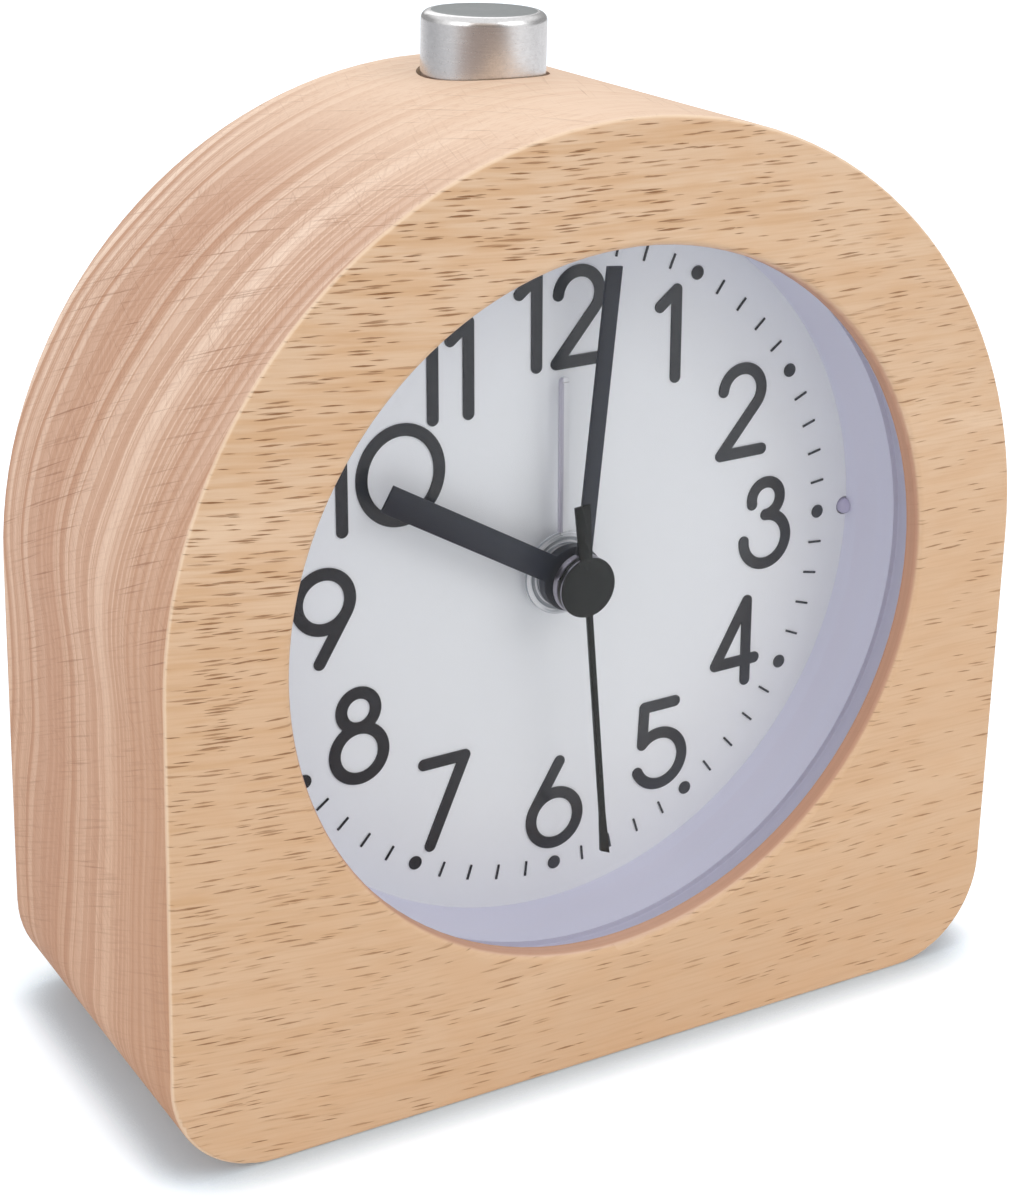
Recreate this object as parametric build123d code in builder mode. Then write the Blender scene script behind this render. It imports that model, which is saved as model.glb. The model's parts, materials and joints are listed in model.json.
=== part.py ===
from build123d import *
from math import acos, atan2, cos, degrees, hypot, radians, sin
import os

# A desk clock in an arched block of beech, with an alarm, a snooze button and a night light.
# Millimetres. X runs to the right of someone facing the dial, Y runs from the front to the
# back, Z is up. The origin is the centre of the face that the block stands on.
# "Depth" always means the distance behind the front face of the wood.

# Wood block
wood_wall = 9.4
base_wall = 9.9
base_corner_radius = 11.0
wood_edge_radius = 0.5
opening_edge_radius = 0.8
lip_thickness = 2.1
lip_width = 3.3
button_hole_radius = 7.03

# Case ring: the tube that holds the works in the wood, with a flange on the wood's back
ring_clearance = 0.3
ring_wall = 1.3
ring_inset = 0.6
flange_width = 4.7
flange_thickness = 2.0
cover_rebate_width = 2.7

# Lens
lens_seat_depth = 5.6
lens_thickness = 2.0
lens_gap = 0.15

# Dial, turned a little in the wood as on the clock in the picture
dial_thickness = 0.8
dial_turn = 1.44
dial_hole_radius = 3.25
mark_height = 0.15
mark_inset = 3.0
tick_length = 1.7
tick_width = 0.25
dot_radius = 0.76
minute_marks = 60
hour_marks = 12

# Numerals: round-ended strokes, sizes along the middle of the stroke
numeral_inset = 7.2
numeral_height = 9.5
numeral_stroke = 1.3
one_flag_run = 2.05
one_flag_drop = 1.6
two_bowl_radius = 2.5
two_foot = 5.4
two_hook_angle = 175
three_upper_radius = 1.9
three_hook_angle = 193
three_tail_angle = -183
four_stem_side = 1.5
four_arm = 4.1
four_bar_end = 1.2
four_bar_drop = 2.3
five_top = 4.0
five_bowl_radius = 3.05
five_neck_angle = 137
five_tail_angle = -157
six_bowl_radius = 2.95
six_tail_side = 0.6
seven_bar = 4.9
seven_foot_side = 1.8
eight_upper_radius = 1.95
zero_half_width = 4.4
ten_gap = 6.6
ten_inset = 3.0
eleven_gap = 4.1
twelve_gap = 5.05

# Night light
light_inset = 0.3
light_radius = 0.9
light_flange_radius = 1.3
light_flange_thickness = 0.8
light_leg_radius = 0.22
light_leg_length = 3.0
light_leg_side = 0.6
light_leg_inset = 0.45
light_hole_gap = 0.15

# Works: clearances
running_gap = 0.08
seat_gap = 0.02
face_gap = 0.3
overrun = 1.0

# Works: frame, wheels and rear plate
frame_gap = 0.3
frame_thickness = 1.5
wheel_thickness = 1.0
layer_gap = 0.4
rear_plate_thickness = 1.5
pillar_radius = 2.2
pillar_rim = 1.0
pillar_side = 20.0
pillar_level = 10.5
pillar_top_level = 28.6
low_pillar_side = 17.0
low_pillar_level = -16.0
works_screw_radius = 0.7
works_screw_bite = 6.0
works_screw_head_radius = 1.7
works_screw_head_height = 1.1
screw_slot_width = 0.5
screw_slot_depth = 0.4
cover_post_radius = 2.6
cover_post_inset = 3.9
cover_post_angles = (30, 150, 243, 297)
pivot_radius = 0.4
pivot_depth = 0.9
stud_radius = 0.5
bush_wall = 0.7
bush_front = 0.5

# Works: tooth counts, tooth sizes and the lines from wheel to wheel
rotor_pinion_teeth = 8
intermediate_teeth = 48
intermediate_pinion_teeth = 8
second_teeth = 40
second_pinion_teeth = 8
third_teeth = 64
third_pinion_teeth = 8
centre_teeth = 60
cannon_teeth = 10
motion_teeth = 30
motion_pinion_teeth = 8
hour_teeth = 32
time_pinion_teeth = 10
alarm_teeth = 30
alarm_pinion_teeth = 24
rotor_module = 0.30
second_module = 0.42
centre_module = 0.30
motion_module = 0.42
alarm_module = 0.48
third_direction = -90
intermediate_direction = 62
rotor_direction = 60
motion_direction = 125
time_set_direction = 203.7
alarm_set_direction = 15.6
addendum_share = 0.55
dedendum_share = 0.90
tooth_tip_share = 0.10
tooth_root_share = 0.22

# Works: shafts, from the middle outwards
second_arbor_radius = 0.35
minute_pipe_wall = 0.52
hour_pipe_wall = 0.57
alarm_pipe_wall = 0.62
hub_wall = 1.0
setting_arbor_radius = 0.8
washer_thickness = 0.2
washer_radius = 3.0

# Works: stepping motor
magnet_radius = 2.3
magnet_thickness = 2.6
rotor_hole_radius = 2.9
pole_radius = 5.2
stator_thickness = 1.2
stator_front_gap = 2.0
stator_bar = 2.4
stator_left = -20.0
stator_right = 15.5
stator_top = 25.2
leg_width = 3.0
coil_height = 18.6
coil_left = -16.5
coil_right = 0.0
coil_flange_radius = 3.6
coil_flange_thickness = 0.8
coil_tube_radius = 1.9
winding_radius = 3.3
core_height = 2.4
core_thickness = 1.2
core_right = 4.5
peg_radius = 0.9

# Hands: steps from front face to front face, and clock directions in degrees past twelve
hand_thickness = 0.4
lens_to_second = 1.9
second_to_minute = 1.3
minute_to_hour = 1.5
hour_to_alarm = 2.0
alarm_to_dial = 1.6
second_hand_angle = 175.3
minute_hand_angle = 6.2
hour_hand_angle = -59.5
alarm_hand_angle = 0.0
second_length = 31.3
second_width = 0.7
second_tip_length = 5.0
second_tip_width = 1.1
second_tip_slant = 0.6
second_tail_length = 9.0
second_tail_width = 1.77
second_tail_root = 1.3
cap_radius = 3.25
cap_thickness = 0.9
cap_edge_radius = 0.25
minute_tip_gap = 5.0
minute_width = 1.8
minute_hub_radius = 3.2
minute_boss_radius = 3.15
hour_length = 25.0
hour_width = 2.9
hour_hub_radius = 3.5
hour_hub_thickness = 1.3
alarm_length = 21.3
alarm_width = 1.1
alarm_thickness = 0.5
alarm_hub_radius = 4.5
alarm_step_radius = 3.4
alarm_step = 0.4

# Circuit board and what it carries
board_gap = 1.2
board_thickness = 1.2
board_width = 38.0
board_top = 30.0
board_bottom = -2.6
board_corner_radius = 3.0
board_post_radius = 1.8
board_post_side = 13.5
board_post_height = 17.0
board_screw_radius = 0.6
board_screw_head_radius = 1.6
board_screw_head_height = 1.0
chip_width = 6.0
chip_height = 5.0
chip_thickness = 1.6
chip_side = 1.0
chip_level = 10.0
crystal_radius = 1.0
crystal_length = 6.0
crystal_side = -7.0
crystal_level = 19.0
capacitor_radius = 2.2
capacitor_length = 5.5
capacitor_side = 8.5
capacitor_level = 24.0

# Snooze button, its guide, plunger and switch
button_radius = 6.62
button_proud = 6.1
button_edge_radius = 0.95
button_top_thickness = 3.2
button_bore_radius = 5.0
button_travel = 1.0
stem_radius = 1.8
guide_recess = 4.4
guide_gap = 0.05
guide_bore_radius = 5.4
guide_floor = 1.2
clip_room = 1.5
clip_room_radius = 3.3
clip_radius = 3.0
clip_thickness = 0.5
clip_mouth = 1.6
clip_gap = 0.1
button_spring_radius = 3.5
button_spring_wire = 0.3
button_spring_turns = 5
plunger_radius = 1.5
collar_radius = 2.6
collar_thickness = 0.8
switch_width = 6.0
switch_height = 4.5
switch_half_depth = 2.2
switch_top = 29.5
switch_actuator_proud = 1.5
switch_actuator_bury = 1.6
switch_bore_depth = 3.0
switch_bore_gap = 0.12

# Rear cover, knobs and alarm switch
cover_thickness = 1.4
cover_gap = 0.2
knob_radius = 5.6
knob_gap = 0.4
knob_height = 3.8
knob_flutes = 20
knob_flute_radius = 0.45
knob_sleeve_radius = 2.4
knob_sleeve_depth = 2.0
knob_web = 1.8
sound_hole_radius = 0.8
sound_hole_ring = 3.6
sound_holes = 6
buzzer_radius = 11.0
buzzer_thickness = 4.5
buzzer_level = 17.5
buzzer_wall = 1.0
buzzer_wall_height = 2.6
alarm_switch_inset = 16.5
alarm_switch_level = 3.6
alarm_switch_width = 8.4
alarm_switch_height = 13.0
alarm_switch_thickness = 4.8
slider_width = 3.0
slider_length = 3.6
slider_travel = 4.0
slider_gap = 0.2
slider_proud = 1.4
slider_bury = 2.2
case_screw_inset = 1.7
case_screw_angle = 45
case_screw_radius = 0.7
case_screw_head_radius = 1.5
case_screw_head_height = 1.0
case_screw_bite = 8.0
cover_screw_radius = 0.65
cover_screw_head_radius = 1.9
cover_screw_head_height = 1.1
cover_screw_bite = 7.0

# Cell, its bay, contacts and door
cell_radius = 7.1
cell_length = 50.5
cell_nub_radius = 2.7
cell_nub_length = 1.0
cell_level = -13.9
cell_edge_radius = 0.4
bay_to_ring = 1.62
bay_half_height = 7.8
bay_front_wall = 1.0
bay_front_gap = 0.4
bay_ledge = 1.1
bay_outer_wall = 0.9
cell_to_door = 1.3
bay_corner_radius = 4.0
cell_lift = 0.3
door_gap = 0.2
door_corner_radius = 2.6
door_notch_radius = 4.5
door_notch_depth = 0.7
door_tab_width = 3.0
door_tab_side = 18.0
door_tab_reach = 1.6
door_tab_root = 2.2
door_tab_thickness = 1.0
tab_slot_gap = 0.4
tab_slot_depth = 2.8
contact_thickness = 0.5
contact_width = 11.0
contact_tab_width = 3.0
contact_tab_proud = 1.2
cell_spring_radius = 3.0
cell_spring_wire = 0.35
cell_spring_turns = 4
cell_spring_room = 5.7

# Leads to the circuit board
lead_radius = 0.45
lead_reach = 5.0
battery_lead_side = 17.5
battery_lead_level = 1.0
light_lead_level = 7.5
light_lead_gap = 1.6
switch_lead_level = 13.0
switch_lead_rise = 1.4
switch_lead_gap = 2.0
buzzer_lead_side = 2.0
buzzer_lead_start = 15.0
buzzer_lead_end_side = 5.0
buzzer_lead_end = 14.0

# The cell sets how long its bay is, the bay's corners set how wide the ring is, and the ring
# sets the pocket, the dial and the block
bay_half_length = (cell_length + cell_spring_room) / 2 + contact_thickness
door_half_length = bay_half_length + bay_ledge
door_half_height = bay_half_height + bay_ledge
bay_outer_length = 2 * (door_half_length + door_gap + bay_outer_wall)
bay_outer_height = 2 * (door_half_height + door_gap + bay_outer_wall)
bay_corner_side = bay_outer_length / 2 - bay_corner_radius
bay_corner_level = bay_outer_height / 2 - cell_level - bay_corner_radius
bay_reach = hypot(bay_corner_side, bay_corner_level) + bay_corner_radius
ring_bore_radius = bay_reach + bay_to_ring
ring_wall_radius = ring_bore_radius - ring_inset
ring_radius = ring_bore_radius + ring_wall
flange_radius = ring_radius + flange_width
cover_rebate_radius = ring_bore_radius + cover_rebate_width
case_screw_ring = flange_radius - case_screw_inset
pocket_radius = ring_radius + ring_clearance
dial_opening_radius = pocket_radius - lip_width
mark_radius = dial_opening_radius - mark_inset
numeral_ring_radius = mark_radius - numeral_inset
light_ring_radius = ring_wall_radius - light_inset
light_leg_ring = light_ring_radius - light_leg_inset
minute_length = ring_wall_radius - minute_tip_gap
frame_radius = ring_bore_radius - frame_gap
cover_post_ring = frame_radius - cover_post_inset
arch_radius = pocket_radius + wood_wall
wood_width = 2 * arch_radius
dial_height = pocket_radius + base_wall
wood_top = dial_height + arch_radius

# Places worked out from the sizes above, from the lens past the hands to the back
second_hand_depth = lens_seat_depth + lens_to_second
minute_hand_depth = second_hand_depth + second_to_minute
hour_hand_depth = minute_hand_depth + minute_to_hour
alarm_hand_depth = hour_hand_depth + hour_to_alarm
dial_depth = alarm_hand_depth + alarm_to_dial
cap_front = second_hand_depth - seat_gap
cap_back = cap_front + cap_thickness
frame_front = dial_depth + dial_thickness
frame_back = frame_front + frame_thickness
layer_step = wheel_thickness + layer_gap
alarm_layer = frame_back + face_gap
hour_layer = alarm_layer + layer_step
motion_layer = hour_layer + layer_step
centre_layer = motion_layer + layer_step
third_layer = centre_layer + layer_step
second_layer = third_layer + layer_step
rear_plate_front = second_layer + wheel_thickness + layer_gap
rear_plate_back = rear_plate_front + rear_plate_thickness
pivot_front = frame_back - pivot_depth
pivot_back = rear_plate_front + pivot_depth
board_front = rear_plate_back + board_gap
board_back = board_front + board_thickness
button_from_front = board_back + switch_half_depth
bay_front = rear_plate_back + bay_front_gap
bay_floor = bay_front + bay_front_wall
cell_depth = bay_floor + cell_lift + cell_radius
cover_front = cell_depth + cell_radius + cell_to_door
cover_back = cover_front + cover_thickness
flange_back = cover_back
wood_depth = flange_back - flange_thickness
cover_radius = cover_rebate_radius - cover_gap
alarm_switch_side = cover_radius - alarm_switch_inset
knob_front = cover_back + knob_gap

minute_pipe_bore = second_arbor_radius + running_gap
minute_pipe_radius = minute_pipe_bore + minute_pipe_wall
hour_pipe_bore = minute_pipe_radius + running_gap
hour_pipe_radius = hour_pipe_bore + hour_pipe_wall
alarm_pipe_bore = hour_pipe_radius + running_gap
alarm_pipe_radius = alarm_pipe_bore + alarm_pipe_wall
bush_bore = alarm_pipe_radius + running_gap
bush_radius = bush_bore + bush_wall

train_distance = centre_module * (centre_teeth + third_pinion_teeth) / 2
third_module = 2 * train_distance / (third_teeth + second_pinion_teeth)
second_distance = second_module * (second_teeth + intermediate_pinion_teeth) / 2
rotor_distance = rotor_module * (intermediate_teeth + rotor_pinion_teeth) / 2
motion_distance = motion_module * (cannon_teeth + motion_teeth) / 2
hour_module = 2 * motion_distance / (motion_pinion_teeth + hour_teeth)
time_set_distance = motion_module * (motion_teeth + time_pinion_teeth) / 2
alarm_set_distance = alarm_module * (alarm_teeth + alarm_pinion_teeth) / 2


def polar(centre, distance, direction):
    """The point this far from a centre, direction in degrees anticlockwise from X."""
    angle = radians(direction)
    return (centre[0] + distance * cos(angle), centre[1] + distance * sin(angle))


dial_centre = (0, 0)
third_axis = polar(dial_centre, train_distance, third_direction)
intermediate_axis = polar(dial_centre, second_distance, intermediate_direction)
rotor_axis = polar(intermediate_axis, rotor_distance, rotor_direction)
motion_axis = polar(dial_centre, motion_distance, motion_direction)
time_set_axis = polar(motion_axis, time_set_distance, time_set_direction)
alarm_set_axis = polar(dial_centre, alarm_set_distance, alarm_set_direction)
pillars = [
    (-pillar_side, pillar_level),
    (pillar_side, pillar_level),
    (0, pillar_top_level),
    (-low_pillar_side, low_pillar_level),
    (low_pillar_side, low_pillar_level),
]
cover_posts = [polar(dial_centre, cover_post_ring, angle) for angle in cover_post_angles]
board_posts = [(-board_post_side, board_post_height), (board_post_side, board_post_height)]
light_place = (light_ring_radius, 0)


def facing(depth, turn=0):
    """The upright plane at a depth, centred on the dial and seen from the front."""
    return Plane(
        origin=(0, depth - wood_depth / 2, dial_height),
        x_dir=(cos(radians(turn)), 0, sin(radians(turn))),
        z_dir=(0, -1, 0),
    )


def level(height):
    """The flat plane at a height, centred on the snooze button."""
    return Plane(origin=(0, button_from_front - wood_depth / 2, height))


def disc(front, back, radius, at=dial_centre, mode=Mode.ADD, turn=0):
    """A round step between two depths, added to the piece being built or cut from it."""
    with BuildSketch(facing(back, turn)) as outline:
        with Locations(at):
            Circle(radius)
    extrude(outline.sketch, amount=back - front, mode=mode)


def block(front, back, width, height, at=dial_centre, corner=0, mode=Mode.ADD):
    """A rectangular step between two depths."""
    with BuildSketch(facing(back)) as outline:
        with Locations(at):
            if corner > 0:
                RectangleRounded(width, height, corner)
            else:
                Rectangle(width, height)
    extrude(outline.sketch, amount=back - front, mode=mode)


def upright(bottom, top, radius, mode=Mode.ADD):
    """A round step between two heights on the snooze button's axis."""
    with BuildSketch(level(bottom)) as outline:
        Circle(radius)
    extrude(outline.sketch, amount=top - bottom, mode=mode)


def tooth_corners(teeth, module, phase, at):
    """Corners of a toothed wheel that has the middle of a tooth at the phase angle."""
    pitch_radius = teeth * module / 2
    root = pitch_radius - dedendum_share * module
    tip = pitch_radius + addendum_share * module
    profile = [
        (root, -tooth_root_share),
        (tip, -tooth_tip_share),
        (tip, tooth_tip_share),
        (root, tooth_root_share),
    ]
    return [
        polar(at, radius, phase + (tooth + share) * 360 / teeth)
        for tooth in range(teeth)
        for radius, share in profile
    ]


def toothed(front, back, teeth, module, phase, at=dial_centre):
    """A toothed step between two depths."""
    with BuildSketch(facing(back)) as outline:
        with BuildLine():
            Polyline(*tooth_corners(teeth, module, phase, at), close=True)
        make_face()
    extrude(outline.sketch, amount=back - front)


half_turn = 180


def mate_phase(phase, teeth, mate_teeth, direction):
    """Phase of a wheel in mesh with another; direction points from that one to its mate."""
    return (
        direction
        + half_turn
        + half_turn / mate_teeth
        - (phase - direction) * teeth / mate_teeth
    )


# Phases: each pinion is one piece with its wheel, so its own phase is free
third_phase = mate_phase(0, second_pinion_teeth, third_teeth, third_direction)
centre_phase = mate_phase(0, third_pinion_teeth, centre_teeth, third_direction + half_turn)
intermediate_pinion_phase = mate_phase(
    0, second_teeth, intermediate_pinion_teeth, intermediate_direction
)
rotor_phase = mate_phase(0, intermediate_teeth, rotor_pinion_teeth, rotor_direction)
motion_phase = mate_phase(0, cannon_teeth, motion_teeth, motion_direction)
hour_phase = mate_phase(0, motion_pinion_teeth, hour_teeth, motion_direction + half_turn)
time_set_phase = mate_phase(
    motion_phase, motion_teeth, time_pinion_teeth, time_set_direction
)
alarm_set_phase = mate_phase(0, alarm_teeth, alarm_pinion_teeth, alarm_set_direction)


def screws(places, seat, head_radius, head_height, shank_radius, bite):
    """Slotted screws driven in from the back, their heads standing on the seat depth."""
    head_back = seat + head_height
    for place in places:
        disc(seat, head_back, head_radius, place)
        disc(seat - bite, seat, shank_radius, place)
        block(
            head_back - screw_slot_depth,
            head_back + overrun,
            2 * head_radius + overrun,
            screw_slot_width,
            place,
            mode=Mode.SUBTRACT,
        )


# The block: arched top, round bottom corners, a lipped round opening and a round pocket
with BuildPart() as wood_body:
    with BuildSketch(facing(wood_depth)) as wood_outline:
        Circle(arch_radius)
        with Locations((0, -dial_height / 2)):
            Rectangle(wood_width, dial_height)
        fillet(wood_outline.vertices().group_by(Axis.Y)[0], base_corner_radius)
    extrude(amount=wood_depth)
    wood_faces = wood_body.faces().filter_by(Axis.Y).sort_by(Axis.Y)
    fillet([wood_faces[0].edges(), wood_faces[-1].edges()], wood_edge_radius)
    disc(-overrun, lip_thickness, dial_opening_radius, mode=Mode.SUBTRACT)
    opening_edges = wood_body.faces().sort_by(Axis.Y)[0].inner_wires().edges()
    fillet(opening_edges, opening_edge_radius)
    disc(lip_thickness, wood_depth + overrun, pocket_radius, mode=Mode.SUBTRACT)
    upright(dial_height, wood_top + overrun, button_hole_radius, mode=Mode.SUBTRACT)
    case_screw_places = [
        polar(dial_centre, case_screw_ring, case_screw_angle + quarter * 90)
        for quarter in range(4)
    ]
    for place in case_screw_places:
        disc(
            flange_back - case_screw_bite - overrun,
            wood_depth + overrun,
            case_screw_radius,
            place,
            mode=Mode.SUBTRACT,
        )

# The ring: front edge on the wood's lip, a seat for the lens, a shoulder for the dial
with BuildPart() as case_ring:
    disc(lip_thickness, wood_depth, ring_radius)
    disc(wood_depth, flange_back, flange_radius)
    disc(lip_thickness - overrun, lens_seat_depth, ring_bore_radius, mode=Mode.SUBTRACT)
    disc(lens_seat_depth, dial_depth, ring_wall_radius, mode=Mode.SUBTRACT)
    disc(dial_depth, flange_back + overrun, ring_bore_radius, mode=Mode.SUBTRACT)
    disc(cover_front, flange_back + overrun, cover_rebate_radius, mode=Mode.SUBTRACT)
    upright(dial_height, wood_top, stem_radius + running_gap, Mode.SUBTRACT)
    for place in case_screw_places:
        disc(
            wood_depth - overrun,
            flange_back + overrun,
            case_screw_radius + running_gap,
            place,
            mode=Mode.SUBTRACT,
        )

with BuildPart() as case_screws:
    screws(
        case_screw_places,
        flange_back,
        case_screw_head_radius,
        case_screw_head_height,
        case_screw_radius,
        case_screw_bite,
    )

with BuildPart() as lens:
    disc(lens_seat_depth - lens_thickness, lens_seat_depth, ring_bore_radius - lens_gap)

# The dial, with a hole for the shafts and a notch for the night light
with BuildPart() as dial_plate:
    disc(dial_depth, frame_front, frame_radius)
    disc(dial_depth - overrun, frame_front + overrun, dial_hole_radius, mode=Mode.SUBTRACT)
    disc(
        dial_depth - overrun,
        frame_front + overrun,
        light_radius + light_hole_gap,
        light_place,
        mode=Mode.SUBTRACT,
        turn=dial_turn,
    )

# Minute ticks, with a dot at each hour
with BuildPart() as minute_track:
    with BuildSketch(facing(dial_depth, dial_turn)):
        for minute in range(minute_marks):
            bearing = minute * 360 / minute_marks
            with Locations(polar(dial_centre, mark_radius, bearing)):
                if minute % (minute_marks // hour_marks) == 0:
                    Circle(dot_radius)
                else:
                    Rectangle(tick_length, tick_width, rotation=bearing)
    extrude(amount=mark_height)


def stroke(start, end):
    """One straight stroke with round ends."""
    SlotArc(Edge.make_line(start, end), numeral_stroke)


def curve(centre, radius, start_angle, end_angle):
    """One curved stroke with round ends, angles anticlockwise from X."""
    arc = Edge.make_circle(
        radius, Plane(origin=(*centre, 0)), start_angle=start_angle, end_angle=end_angle
    )
    SlotArc(arc, numeral_stroke)


def ring(centre, half_width, half_height):
    """A closed round stroke."""
    with Locations(centre):
        Ellipse(half_width + numeral_stroke / 2, half_height + numeral_stroke / 2)


def ring_hole(centre, half_width, half_height):
    """The hollow of a closed round stroke."""
    with Locations(centre):
        Ellipse(
            half_width - numeral_stroke / 2,
            half_height - numeral_stroke / 2,
            mode=Mode.SUBTRACT,
        )


def digit_one(x, y):
    top = y + numeral_height / 2
    stem = x + one_flag_run / 2
    stroke((stem, y - numeral_height / 2), (stem, top))
    stroke((stem, top), (stem - one_flag_run, top - one_flag_drop))


def digit_two(x, y):
    bottom = y - numeral_height / 2
    bowl = (x, y + numeral_height / 2 - two_bowl_radius)
    left = x - two_foot / 2
    reach = hypot(bowl[0] - left, bowl[1] - bottom)
    toward_corner = degrees(atan2(bottom - bowl[1], left - bowl[0]))
    leave = toward_corner + degrees(acos(two_bowl_radius / reach))
    curve(bowl, two_bowl_radius, leave, two_hook_angle)
    stroke(polar(bowl, two_bowl_radius, leave), (left, bottom))
    stroke((left, bottom), (left + two_foot, bottom))


def digit_three(x, y):
    lower_radius = numeral_height / 2 - three_upper_radius
    upper = (x, y + numeral_height / 2 - three_upper_radius)
    lower = (x, y - numeral_height / 2 + lower_radius)
    curve(upper, three_upper_radius, -90, three_hook_angle)
    curve(lower, lower_radius, three_tail_angle, 90)


def digit_four(x, y):
    stem = x + four_stem_side
    bar = y - four_bar_drop
    top = y + numeral_height / 2
    stroke((stem, y - numeral_height / 2), (stem, top))
    stroke((stem, top), (stem - four_arm, bar))
    stroke((stem - four_arm, bar), (stem + four_bar_end, bar))


def digit_five(x, y):
    top = y + numeral_height / 2
    bowl = (x, y - numeral_height / 2 + five_bowl_radius)
    left = x - five_top / 2
    curve(bowl, five_bowl_radius, five_tail_angle, five_neck_angle)
    stroke(polar(bowl, five_bowl_radius, five_neck_angle), (left, top))
    stroke((left, top), (left + five_top, top))


def digit_six(x, y, turn=0):
    """A round bowl with a straight tail; turned half round it is a nine."""
    half = numeral_height / 2
    sign = cos(radians(turn))
    bowl = (x, y - sign * (half - six_bowl_radius))
    tail = (x + sign * six_tail_side, y + sign * half)
    reach = hypot(tail[0] - bowl[0], tail[1] - bowl[1])
    bearing = degrees(atan2(tail[1] - bowl[1], tail[0] - bowl[0]))
    touch = bearing + degrees(acos(six_bowl_radius / reach))
    ring(bowl, six_bowl_radius, six_bowl_radius)
    stroke(polar(bowl, six_bowl_radius, touch), tail)
    ring_hole(bowl, six_bowl_radius, six_bowl_radius)


def digit_seven(x, y):
    top = y + numeral_height / 2
    stroke((x - seven_bar / 2, top), (x + seven_bar / 2, top))
    stroke((x + seven_bar / 2, top), (x - seven_foot_side, y - numeral_height / 2))


def digit_eight(x, y):
    lower_radius = numeral_height / 2 - eight_upper_radius
    upper = (x, y + numeral_height / 2 - eight_upper_radius)
    lower = (x, y - numeral_height / 2 + lower_radius)
    ring(upper, eight_upper_radius, eight_upper_radius)
    ring(lower, lower_radius, lower_radius)
    ring_hole(upper, eight_upper_radius, eight_upper_radius)
    ring_hole(lower, lower_radius, lower_radius)


def digit_zero(x, y):
    ring((x, y), zero_half_width, numeral_height / 2)
    ring_hole((x, y), zero_half_width, numeral_height / 2)


def hour_place(hour):
    """Where the middle of an hour's numeral stands on the dial."""
    return polar(dial_centre, numeral_ring_radius, 90 - hour * 360 / hour_marks)


zero_x = hour_place(10)[0] + ten_inset + zero_half_width / 2

with BuildPart() as dial_numerals:
    with BuildSketch(facing(dial_depth, dial_turn)):
        digit_one(*hour_place(1))
        digit_two(*hour_place(2))
        digit_three(*hour_place(3))
        digit_four(*hour_place(4))
        digit_five(*hour_place(5))
        digit_six(*hour_place(6))
        digit_seven(*hour_place(7))
        digit_eight(*hour_place(8))
        digit_six(*hour_place(9), turn=180)
        digit_one(zero_x - ten_gap - one_flag_run / 2, hour_place(10)[1])
        digit_zero(zero_x, hour_place(10)[1])
        digit_one(hour_place(11)[0] - eleven_gap / 2, hour_place(11)[1])
        digit_one(hour_place(11)[0] + eleven_gap / 2, hour_place(11)[1])
        digit_one(hour_place(12)[0] - twelve_gap / 2 - one_flag_run / 2, hour_place(12)[1])
        digit_two(hour_place(12)[0] + twelve_gap / 2, hour_place(12)[1])
    extrude(amount=mark_height)

# The night light: a small domed lamp in the edge of the dial, flat where it stands against
# the ring's wall, its legs behind the frame
with BuildPart() as night_light:
    disc(dial_depth, frame_back, light_radius, light_place, turn=dial_turn)
    with Locations(facing(dial_depth, dial_turn).from_local_coords(Vector(*light_place, 0))):
        Sphere(light_radius)
    disc(
        frame_back,
        frame_back + light_flange_thickness,
        light_flange_radius,
        light_place,
        turn=dial_turn,
    )
    disc(
        dial_depth - light_radius,
        frame_back + light_flange_thickness,
        ring_wall_radius - running_gap,
        mode=Mode.INTERSECT,
    )
    for side in (-light_leg_side, light_leg_side):
        disc(
            frame_back + light_flange_thickness,
            frame_back + light_flange_thickness + light_leg_length,
            light_leg_radius,
            (light_leg_ring, side),
            turn=dial_turn,
        )

# The main frame: a disc that backs the dial and carries the works and the rear cover
with BuildPart() as main_frame:
    disc(frame_front, frame_back, frame_radius)
    disc(dial_depth - bush_front, frame_back, bush_radius)
    disc(dial_depth - overrun - bush_front, frame_back + overrun, bush_bore, mode=Mode.SUBTRACT)
    disc(
        frame_front - overrun,
        frame_back + overrun,
        light_radius + light_hole_gap,
        light_place,
        mode=Mode.SUBTRACT,
        turn=dial_turn,
    )
    for place in pillars:
        disc(frame_back, rear_plate_front, pillar_radius, place)
        disc(
            rear_plate_front - works_screw_bite,
            rear_plate_front + overrun,
            works_screw_radius,
            place,
            mode=Mode.SUBTRACT,
        )
    for place in cover_posts:
        disc(frame_back, cover_front, cover_post_radius, place)
        disc(
            cover_back - cover_screw_bite - overrun,
            cover_front + overrun,
            cover_screw_radius,
            place,
            mode=Mode.SUBTRACT,
        )
    disc(frame_back, centre_layer - layer_gap / 2, stud_radius, motion_axis)
    for place in (third_axis, intermediate_axis, rotor_axis):
        disc(pivot_front, frame_back + overrun, pivot_radius + running_gap, place, Mode.SUBTRACT)
    for place in (time_set_axis, alarm_set_axis):
        disc(
            pivot_front,
            frame_back + overrun,
            setting_arbor_radius + running_gap,
            place,
            Mode.SUBTRACT,
        )
    stator_front = frame_back + stator_front_gap
    peg_places = [
        (stator_left + leg_width / 2, stator_top - stator_bar / 2),
        (stator_right - leg_width / 2, stator_top - stator_bar / 2),
    ]
    for place in peg_places:
        disc(frame_back, stator_front, 2 * peg_radius, place)
        disc(stator_front, stator_front + stator_thickness, peg_radius, place)

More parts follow.
